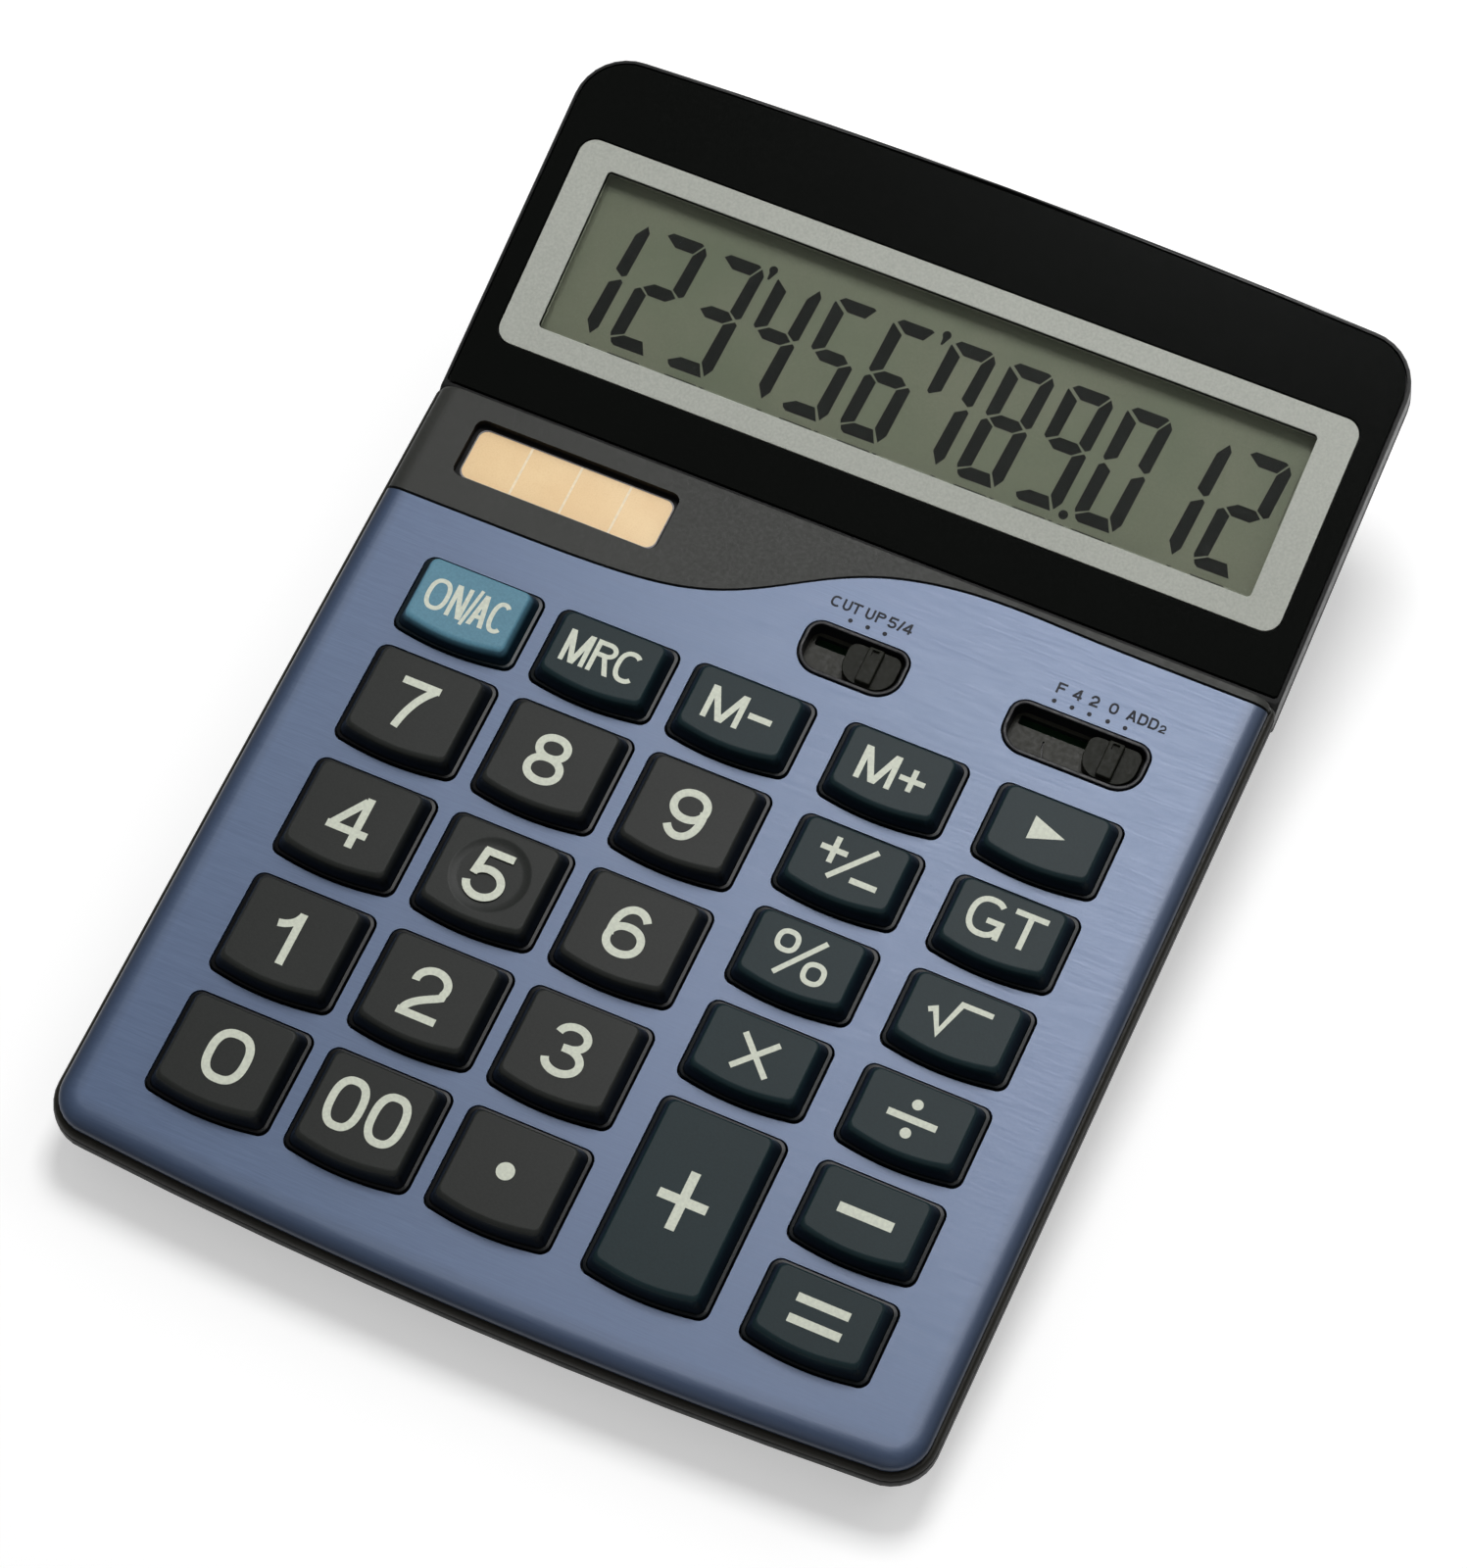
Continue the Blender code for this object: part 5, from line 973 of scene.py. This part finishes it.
def letter(name, w, h, s):
    """Paths of a plain capital or sign in a box."""
    t = s / 2
    l, r, m, top, half, a = t, w - t, w / 2, h - t, h / 2, 1.18 * s
    bowl = arc(r - (r - l) * 0.5, half, (r - l) * 0.5, half - t, 90, -90, 2.4)
    upper = arc(r - (top - half) / 2, (top + half) / 2 + t / 2, (top - half) / 2,
                (top - half) / 2 - t / 2, 90, -90)
    shapes = {
        "M": lambda: [outline((0, 0), (0, h), (a, h), (m, h * a / (w - a)), (w - a, h), (w, h),
                              (w, 0), (w - s, 0), (w - s, h - h * s / (m - a / 2)),
                              (m + a / 2, 0), (m - a / 2, 0), (s, h - h * s / (m - a / 2)),
                              (s, 0))],
        "N": lambda: [outline((0, 0), (0, h), (a, h), (w - s, h * s / (w - a)), (w - s, h),
                              (w, h), (w, 0), (w - a, 0), (s, h - h * s / (w - a)), (s, 0))],
        "R": lambda: [outline((0, 0), (0, h), (s, h), (s, 0)),
                      path((l, top), upper, (l, half + t)),
                      outline((w - 1.12 * s, 0), (m - 0.1 * w, half + t),
                              (m - 0.1 * w + 1.12 * s, half + t), (w, 0))],
        "P": lambda: [line((l, 0), (l, h)), path((l, top), upper, (l, half + t))],
        "C": lambda: [path(arc(m, half, r - m, half - t, 48, 312, 2.4))],
        "G": lambda: [path(arc(m, half, r - m, half - t, 45, 340, 2.4)),
                      line((m + 0.2, half - t), (w, half - t)), line((r, half), (r, 0.3))],
        "A": lambda: [outline((0, 0), (m - t * 1.1, h), (m + t * 1.1, h), (t * 2.2, 0)),
                      outline((w - t * 2.2, 0), (m - t * 1.1, h), (m + t * 1.1, h), (w, 0)),
                      line((l + s * 0.6, h * 0.3), (r - s * 0.6, h * 0.3))],
        "O": lambda: [ring_path(arc(m, half, r - m, half - t, 0, 360, 2.4, 44))],
        "T": lambda: [line((0, top), (w, top)), line((m, 0), (m, h))],
        "U": lambda: [path((l, h), arc(m, m, r - m, m - t, 180, 360), (r, h))],
        "D": lambda: [line((l, 0), (l, h)), path((l, top), bowl, (l, t))],
        "F": lambda: [line((l, 0), (l, h)), line((0, top), (w, top)),
                      line((0, half), (w * 0.85, half))],
        "/": lambda: [line((l, 0), (r, h))],
        "+": lambda: [line((0, half), (w, half)), line((m, 0), (m, h))],
        "-": lambda: [line((0, half), (w, half))],
        "=": lambda: [line((0, t), (w, t)), line((0, top), (w, top))],
        "x": lambda: [line((l, l), (r, top)), line((l, top), (r, l))],
        "4": lambda: [line((w * 0.72, 0), (w * 0.72, h)), line((0, h * 0.28), (w, h * 0.28)),
                      line((w * 0.68, h - t), (l, h * 0.3))],
        "2": lambda: [path(arc(m, top - (r - m), r - m, r - m, 180, -25), (l, s)),
                      line((0, t), (w, t))],
        "5": lambda: [line((t, top), (w, top)), line((l + t, h), (l, half)),
                      path((l, half + t), arc(m, h * 0.33, r - m, h * 0.33 - t, 120, -160))],
    }
    return shapes[name]()


class Print:
    """Thin raised print: shells with each stroke a little higher than the one before, so
    that no two lie in one plane."""

    def __init__(self, height, rise=0.02, step=0.002):
        self.height, self.rise, self.step = height, rise, step
        self.root = height - 0.05
        self.shells = []

    def top(self):
        """Height of the next stroke."""
        return self.height + self.rise + self.step * len(self.shells)

    def strokes(self, paths, x, y, width):
        """Paths moved to a place."""
        for points, closed in paths:
            if closed is None:
                self.fill(points + [x, y])
            else:
                self.shells.append(ribbon(points + [x, y], closed, width, self.root,
                                          self.top()))

    def dot(self, x, y, radius):
        """Round dot."""
        self.shells.append(prism(disc((x, y), radius, 40), self.root, self.top()))

    def fill(self, points):
        """Filled polygon."""
        self.shells.append(prism(np.array(points, float), self.root, self.top()))


def digits_at(work, name, x_left, y_low, w, h, s=1.35):
    """Digit with its lower left corner at a place."""
    work.strokes(digit(name, w, h, s), x_left, y_low, s)


def letters_at(work, name, x_left, x_right, y_low, y_high, s):
    """Capital or sign between two x and two y."""
    work.strokes(letter(name, x_right - x_left, y_high - y_low, s), x_left, y_low, s)


LEGENDS = {name: Print(KEY_TOP) for name in HOLES}
for name, x, y, w, h in (("7", -56.25, -15.1, 6.75, 9.3), ("8", -31.4, -15.2, 6.9, 9.55),
                         ("9", -6.35, -15.2, 7.0, 9.55), ("4", -56.35, -38.1, 7.25, 9.45),
                         ("5", -31.5, -38.15, 7.1, 9.5), ("6", -6.35, -38.15, 7.1, 9.5),
                         ("1", -55.5, -61.35, 4.0, 9.6), ("2", -31.25, -61.25, 6.85, 9.65),
                         ("3", -6.35, -61.05, 7.1, 9.7)):
    digits_at(LEGENDS["key_" + name], name, x, y, w, h)
digits_at(LEGENDS["key_0"], "0", -56.15, -84.0, 7.8, 9.65, 1.45)
for x in (-34.5, -27.1):
    digits_at(LEGENDS["key_00"], "0", x, -83.65, 6.5, 9.65)
LEGENDS["key_decimal_point"].dot(-2.95, -79.0, 1.55)

power = LEGENDS["key_on_ac"]
for name, left, right, low, high in (("O", -60.0, -55.9, 7.0, 13.1),
                                     ("N", -55.55, -52.6, 7.0, 13.1),
                                     ("A", -51.5, -48.55, 7.0, 13.1),
                                     ("C", -48.4, -45.1, 7.0, 13.1)):
    letters_at(power, name, left, right, low, high, 0.78)
power.strokes([line((-52.35, 6.3), (-51.2, 13.6))], 0, 0, 0.62)
recall = LEGENDS["key_memory_recall"]
for name, left, right in (("M", -34.6, -30.1), ("R", -29.6, -25.6), ("C", -25.3, -20.9)):
    letters_at(recall, name, left, right, 7.2, 13.3, 0.84)
less = LEGENDS["key_memory_minus"]
letters_at(less, "M", -8.6, -2.0, 7.1, 13.3, 1.0)
letters_at(less, "-", -1.1, 3.0, 9.65, 10.9, 1.1)
more = LEGENDS["key_memory_plus"]
letters_at(more, "M", 19.1, 25.5, 7.0, 13.3, 1.0)
letters_at(more, "+", 26.2, 30.7, 7.9, 12.1, 0.95)
LEGENDS["key_backspace"].fill([(49.5, 8.0), (55.5, 10.2), (49.5, 12.45)])
sign = LEGENDS["key_sign_change"]
letters_at(sign, "+", 19.5, 24.2, -8.9, -4.0, 1.0)
sign.strokes([line((22.5, -11.3), (28.8, -4.1))], 0, 0, 0.95)
letters_at(sign, "-", 26.3, 31.0, -11.0, -9.9, 1.05)
total = LEGENDS["key_grand_total"]
letters_at(total, "G", 46.1, 52.5, -11.2, -3.8, 1.0)
letters_at(total, "T", 53.3, 59.0, -10.8, -4.1, 1.0)
percent = LEGENDS["key_percent"]
letters_at(percent, "O", 19.5, 23.7, -26.5, -22.2, 0.9)
percent.strokes([line((21.5, -30.3), (27.8, -22.3))], 0, 0, 0.9)
letters_at(percent, "O", 25.7, 29.9, -30.3, -26.0, 0.9)
LEGENDS["key_square_root"].strokes(
    [path((47.1, -26.2), (48.2, -25.6), (50.0, -29.4), (52.0, -23.35), (57.3, -23.35))],
    0, 0, 0.95)
letters_at(LEGENDS["key_multiply"], "x", 21.5, 28.6, -48.5, -41.2, 1.0)
divide = LEGENDS["key_divide"]
letters_at(divide, "-", 48.2, 56.7, -45.5, -44.3, 1.2)
divide.dot(52.3, -42.2, 0.93)
divide.dot(52.4, -47.4, 0.93)
letters_at(LEGENDS["key_plus"], "+", 20.7, 29.1, -77.5, -67.0, 1.65)
letters_at(LEGENDS["key_minus"], "-", 47.7, 57.1, -63.9, -62.1, 1.75)
letters_at(LEGENDS["key_equals"], "=", 48.0, 57.0, -83.9, -78.7, 1.5)
for name, work in LEGENDS.items():
    piece(name + "_legend", join(work.shells), CASE, name + "_body", LEGEND,
          dict(key_on_ac="power_key_plastic").get(name, "function_key_plastic"),
          weighted=False)

labels = Print(0.0, 0.008, 0.001)
for name, left, right in (("C", 1.8, 3.7), ("U", 3.95, 5.45), ("T", 5.55, 7.3),
                          ("U", 8.1, 9.65), ("P", 10.0, 11.6), ("5", 12.15, 13.75),
                          ("/", 13.95, 15.0), ("4", 14.95, 16.6), ("F", 42.8, 44.4),
                          ("4", 45.7, 47.3), ("2", 48.75, 50.3), ("O", 52.15, 53.75),
                          ("A", 55.35, 57.1), ("D", 57.35, 59.0), ("D", 59.25, 60.9)):
    letters_at(labels, name, left, right, 36.3, 38.4, 0.39)
letters_at(labels, "2", 61.2, 62.35, 36.3, 37.8, 0.28)
for x, y in ((6.3, 34.9), (9.46, 34.9), (12.58, 34.9), (43.3, 34.75), (46.5, 34.75),
             (49.6, 34.75), (52.9, 34.75), (56.0, 34.75)):
    labels.dot(x, y, 0.4)
piece("switch_labels", join(labels.shells), CASE, "base", PLATE_PRINT, "blue_plate",
      weighted=False)


# ---- switches -------------------------------------------------------------------------

POCKET_FLOOR = -3.0
RIM_WALL, RIM_INNER = -0.3, -1.0
GUIDE_FLANGE = 1.5
GROOVE_WIDTH, GROOVE_RUN, GROOVE_BOW = 0.26, 4.0, 1.9
SLOT_MIDDLE = 28.25
PLATE_BOTTOM, RIDGE_BOTTOM, STEM_BOTTOM = -2.6, -2.4, -8.0


def guide_shell(slot, ridge_x, groove_x=None):
    """Slot guide, lofted through the slot's outline at several insets: flange under the
    deck, a narrow rounded rim a little proud of the plate, and a pocket with a gate for the
    knob's stem along its far side.  A bowed groove may cross the floor."""
    def ring(grow, height):
        return level(slot_plan(slot, grow), height)

    middle = (slot[2] + slot[3]) / 2
    rings = [ring(GUIDE_FLANGE, -4.2), ring(GUIDE_FLANGE, FLANGE_TOP),
             ring(RIM_WALL, FLANGE_TOP), ring(RIM_WALL, 0.16), ring(-0.36, 0.27),
             ring(-0.5, 0.3), ring(-0.82, 0.3), ring(-0.94, 0.25), ring(RIM_INNER, 0.1),
             ring(RIM_INNER, POCKET_FLOOR)]
    gate = prism(plan(slot[0] + 1.9, ridge_x + 1.3, middle + 1.6, middle + 3.4, 0.3, 0.3,
                      bow=2), -6.0, -1.0)
    steps = [("DIFFERENCE", gate)]
    if groove_x is not None:
        share = np.linspace(0.0, 1.0, 15)
        bow = np.stack([groove_x + GROOVE_BOW * (1.0 - share) ** 2.2,
                        slot[2] + 1.35 + GROOVE_RUN * share], -1)
        groove = ribbon(bow, False, GROOVE_WIDTH, POCKET_FLOOR - 0.4, POCKET_FLOOR + 0.1)
        steps.append(("DIFFERENCE", groove))
    return worked(loft(rings), CASE, *steps)


def knob_shell(ridge_x, middle):
    """Knob: stem, lobed plate, and a rounded upright ridge with a small notch.  Plate and
    ridge are lofted through rounded boxes that draw in towards their tops."""
    def box(half, side, radius, near_radius, height):
        return level(plan(ridge_x - half, ridge_x + half, middle - side, middle + side,
                          near_radius, radius, bow=4), height)

    plate = loft([box(4.75, 3.65, 1.6, 3.6, PLATE_BOTTOM), box(4.75, 3.65, 1.6, 3.6, -0.76),
                  box(4.68, 3.58, 1.55, 3.55, -0.64), box(4.55, 3.45, 1.45, 3.45, -0.6)])
    ridge = loft([box(1.4, 3.4, 0.36, 0.36, RIDGE_BOTTOM), box(1.4, 3.4, 0.36, 0.36, 0.3),
                  box(1.3, 3.3, 0.34, 0.34, 0.5), box(1.1, 3.1, 0.3, 0.3, 0.6)])
    stem = prism(rectangle(ridge_x - 1, ridge_x + 1, middle + 1.9, middle + 3.1),
                 STEM_BOTTOM, -2.3)
    notch = prism(rectangle(ridge_x - 0.62, ridge_x + 0.62, middle + 1.75, middle + 2.95),
                  0.1, 2.0)
    return worked(plate, CASE, ("UNION", ridge), ("UNION", stem), ("DIFFERENCE", notch))


def guide_paint(at):
    """Dark rim finish on the rim, and the same dark as painted shade on the pocket's walls and
    in the groove; floor finish on the pocket's floor.
    """
    return np.where(np.abs(at[:, 2] - POCKET_FLOOR) > 0.04, 1, 0)


for label, ridge_x, groove_x in (("rounding", 12.75, None), ("decimal", 56.05, 44.2)):
    slot = SLOTS[label]
    piece(label + "_slot_guide", guide_shell(slot, ridge_x, groove_x), CASE, "base",
          (SWITCH_FLOOR, SWITCH_RIM_AND_SHADE), "switch_plastic", (label + "_switch_guide",),
          guide_paint)
    piece(label + "_knob", knob_shell(ridge_x, SLOT_MIDDLE), CASE,
          label + "_switch_knob_body", SWITCH, "switch_plastic", (label + "_switch_knob",))


# ---- display head ---------------------------------------------------------------------

TRIM_SEAT = 3.8
GLASS_TOP = 1.8
DIGIT_PITCH = 10.82
MARK_X, MARK_Y = -32.5, 39.1


def head_plan(inset, near):
    """Outline of the head drawn in by an inset at its sides and far edge."""
    half = HEAD_HALF - inset
    return plan(-half, half, near, HEAD_REACH - inset, NOSE_CORNER,
                max(HEAD_CORNER - inset, NOSE_CORNER), far_sag=HEAD_SAG, arc=10)


def box_outline(box, grow, radius):
    """Outline of a rounded box grown on all sides."""
    return plan(box[0] - grow, box[1] + grow, box[2] - grow, box[3] + grow, radius, radius,
                bow=2)


smoothed("display_front_case", "head_front_shell", "display_head", SATIN_BLACK,
         "black_plastic")
smoothed("display_rear_case", "head_rear_shell", "display_head", GREY_SHELL, "grey_plastic")
fascia = worked(loft([level(head_plan(0.9, -0.2), TRIM_SEAT),
                      level(head_plan(0.9, -0.2), 4.9), level(head_plan(1.0, -0.1), NOSE)]),
                HEAD, ("DIFFERENCE", prism(box_outline(FRAME_BOX, 0.3, 3.3), 2.0, 8.0)))
piece("gloss_front", fascia, HEAD, "display_head", GLOSS, "gloss_black", ("display_fascia",))
silver = loft([level(box_outline(FRAME_BOX, 0.0, 3.0), TRIM_SEAT),
               level(box_outline(FRAME_BOX, 0.0, 3.0), 4.94),
               level(box_outline(FRAME_BOX, -0.06, 2.94), NOSE),
               level(box_outline(WINDOW_BOX, 0.1, 0.9), NOSE),
               level(box_outline(WINDOW_BOX, 0.0, 0.8), 4.9),
               level(box_outline(WINDOW_BOX, 0.0, 0.8), TRIM_SEAT)], "ring", "ring")


def surround_paint(at):
    """Painted shade in black on the walls of the window's opening, silver elsewhere."""
    left, right, near, far = WINDOW_BOX
    inside = ((at[:, 0] > left - 0.2) & (at[:, 0] < right + 0.2)
              & (at[:, 1] > near - 0.2) & (at[:, 1] < far + 0.2))
    return inside & (at[:, 2] < 4.9)


piece("silver_surround", silver, HEAD, "display_head", (SILVER, PAINTED_SHADE_BLACK), "silver_frame",
      ("display_frame",), surround_paint)
piece("window_pane", prism(box_outline(WINDOW_BOX, -0.3, 0.5), TRIM_SEAT, 4.8), HEAD,
      "display_head", PANE, "clear_pane", ("display_window",))

# Corners of the seven bars of the first digit
SEGMENTS = dict(
    a=((-63.05, 38.27), (-62.15, 39.03), (-56.82, 39.07), (-56.29, 38.8), (-57.59, 36.73),
       (-60.92, 36.7)),
    b=((-56.02, 38.57), (-55.23, 37.4), (-55.9, 29.0), (-56.7, 28.5), (-58.22, 29.5),
       (-57.52, 36.4)),
    c=((-56.6, 28.03), (-56.07, 27.57), (-56.73, 18.67), (-57.73, 17.1), (-59.13, 19.33),
       (-58.43, 26.9)),
    d=((-64.82, 17.73), (-62.82, 18.93), (-59.32, 19.0), (-58.15, 16.7), (-63.82, 16.63),
       (-64.49, 17.07)),
    e=((-63.65, 27.93), (-62.15, 26.9), (-62.82, 19.17), (-64.99, 18.07), (-65.22, 18.67),
       (-64.52, 27.33)),
    f=((-63.56, 37.95), (-61.36, 36.33), (-61.96, 29.5), (-63.79, 28.4), (-64.31, 28.83),
       (-63.7, 37.6)),
    g=((-63.29, 28.17), (-61.59, 29.33), (-58.39, 29.33), (-57.12, 28.23), (-58.62, 27.03),
       (-61.89, 27.03)))
SHOWN = {"0": "abcdef", "1": "bc", "2": "abged", "3": "abgcd", "4": "fgbc", "5": "afgcd",
         "6": "acdefg", "7": "abcf", "8": "abcdefg", "9": "abcdfg"}
display = Print(GLASS_TOP, 0.012, 0.0)
for place, number in enumerate("123456789012"):
    for name in SHOWN[number]:
        display.fill(np.array(SEGMENTS[name]) + [DIGIT_PITCH * place, 0.0])
for x in (MARK_X, MARK_X + 3 * DIGIT_PITCH):
    display.dot(x, MARK_Y, 0.77)
    display.fill([(x - 0.5, 38.6), (x - 0.45, 37.2), (x - 0.1, 37.2), (x + 0.6, 38.6)])
display.dot(30.77, 16.9, 0.83)
piece("display_digits", join(display.shells), HEAD, "display_head", SEGMENT, "lcd_glass",
      weighted=False)

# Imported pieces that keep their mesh
KEPT = {
    "main_board": BOARD, "controller_chip": CHIP, "battery_cell": STEEL,
    "battery_contact_positive": STEEL, "battery_contact_negative": STEEL,
    "hinge_pin_left": STEEL, "hinge_pin_right": STEEL, "lcd_panel": DISPLAY,
    "display_board": BOARD, "lcd_connector_strip": RUBBER}
for name, finish in KEPT.items():
    mesh = NODES[name].data
    mesh.materials.clear()
    mesh.materials.append(finish)
for side in ("front_left", "front_right", "rear_left", "rear_right"):
    smoothed("foot_" + side, "foot_pad_" + side, "base", RUBBER, "black_rubber")
    smoothed("case_screw_" + side, "closing_screw_" + side, "base", STEEL, "steel")
smoothed("battery_cover", "battery_cover_cap", "battery_cover_body", GREY_SHELL,
         "grey_plastic")


# ---- floor, light and camera ----------------------------------------------------------

FLOOR_HALF, FLOOR_LEVEL = 6, -0.0001
FLOOR_GLOW = 0.4
WORLD_LIGHT = 0.26
SCENE_MIDDLE = (0.0, 0.0, 0.02)
WHITE = (1.0, 1.0, 1.0, 1.0)


def floor_finish():
    """Pale matte floor that the camera, gloss and glass see as near white where the object
    doesn't shade it."""
    nodes = Nodes("pale_floor")
    shade = nodes.noise(3.0, 2.0)
    base = nodes.mix(nodes.spread(shade, 0.0, 1.0), grey(0.8), grey(0.82))
    nodes.set(Base_Color=base, Roughness=0.9)
    nodes.shader.inputs["Specular IOR Level"].default_value = 0.0
    nodes.shader.inputs["Emission Color"].default_value = WHITE
    path_node = nodes.add("ShaderNodeLightPath")
    seen = nodes.add("ShaderNodeMath", operation="MAXIMUM")
    nodes.put(seen.inputs[0], path_node.outputs["Is Camera Ray"])
    also = nodes.add("ShaderNodeMath", operation="MAXIMUM")
    nodes.put(also.inputs[0], path_node.outputs["Is Glossy Ray"])
    nodes.put(also.inputs[1], path_node.outputs["Is Transmission Ray"])
    nodes.put(seen.inputs[1], also.outputs[0])
    strength = nodes.add("ShaderNodeMath", operation="MULTIPLY")
    nodes.put(strength.inputs[0], seen.outputs[0])
    strength.inputs[1].default_value = FLOOR_GLOW
    nodes.put(nodes.shader.inputs["Emission Strength"], strength.outputs[0])
    return nodes.material


floor_mesh = bpy.data.meshes.new("floor")
floor_mesh.from_pydata(
    [(x * FLOOR_HALF, y * FLOOR_HALF, FLOOR_LEVEL)
     for x, y in ((-1, -1), (1, -1), (1, 1), (-1, 1))], [], [(0, 1, 2, 3)])
floor = bpy.data.objects.new("floor", floor_mesh)
bpy.context.scene.collection.objects.link(floor)
floor_mesh.materials.append(floor_finish())

world = bpy.data.worlds.new("studio")
bpy.context.scene.world = world
world.use_nodes = True
backdrop = world.node_tree.nodes["Background"]
backdrop.inputs["Strength"].default_value = WORLD_LIGHT
backdrop.inputs["Color"].default_value = WHITE


def lamp(name, place, target, size, power):
    """Large soft square lamp turned to a target."""
    data = bpy.data.lights.new(name, "AREA")
    data.shape, data.size, data.energy = "SQUARE", size, power
    item = bpy.data.objects.new(name, data)
    bpy.context.scene.collection.objects.link(item)
    item.location = place
    away = item.location - Vector(target)
    item.rotation_euler = away.to_track_quat("Z", "Y").to_euler()


# Camera from the fit of the plate's plan to the photograph: rows are its right, down and
# forward directions in the case frame
VIEW_ROWS = np.array([[0.9098, 0.4141, -0.0270], [0.3613, -0.8223, -0.4397],
                      [-0.2043, 0.3903, -0.8978]])
VIEW_PLACE = np.array([182.0, -346.4, 795.4])
directions = VIEW_ROWS @ CASE[:3, :3].T
spot = (CASE[:3, :3] @ VIEW_PLACE + CASE[:3, 3]) * MM


def mirrored(x, v, distance):
    """Place from which a point on the plate mirrors a lamp to the camera, and that point:
    the line of sight turned over at the plate."""
    point = (CASE[:3, :3] @ np.array([x, v, 0.0]) + CASE[:3, 3]) * MM
    up = CASE[:3, 2]
    sight = point - spot
    sight /= np.linalg.norm(sight)
    back = sight - 2 * (sight @ up) * up
    return point + back * distance, point


lamp_place, lamp_point = mirrored(75.0, 35.0, 1.15)
lamp("far_left_window", lamp_place, lamp_point, 0.42, 7.4)
lamp("far_right_window", (0.9, 1.1, 1.2), SCENE_MIDDLE, 0.9, 3.0)
lamp("front_fill", (0.4, -1.4, 1.4), SCENE_MIDDLE, 1.2, 2.0)

FILM_WIDTH = 36.0
FOCAL_PIXELS = 5489.1
IMAGE_WIDTH = 1497.0
camera_data = bpy.data.cameras.new("camera")
camera_data.sensor_fit = "HORIZONTAL"
camera_data.sensor_width = FILM_WIDTH
camera_data.lens = FILM_WIDTH * FOCAL_PIXELS / IMAGE_WIDTH
camera_data.clip_start = 0.05
camera = bpy.data.objects.new("camera", camera_data)
bpy.context.scene.collection.objects.link(camera)
# The nearest pure rotation to the fitted directions
axes = np.column_stack([directions[0], -directions[1], -directions[2]])
left_vectors, _, right_vectors = np.linalg.svd(axes)
turn_matrix = np.eye(4)
turn_matrix[:3, :3] = left_vectors @ right_vectors
turn_matrix[:3, 3] = spot
camera.matrix_world = Matrix(turn_matrix.tolist())
bpy.context.scene.camera = camera
bpy.context.scene.view_settings.view_transform = "Standard"
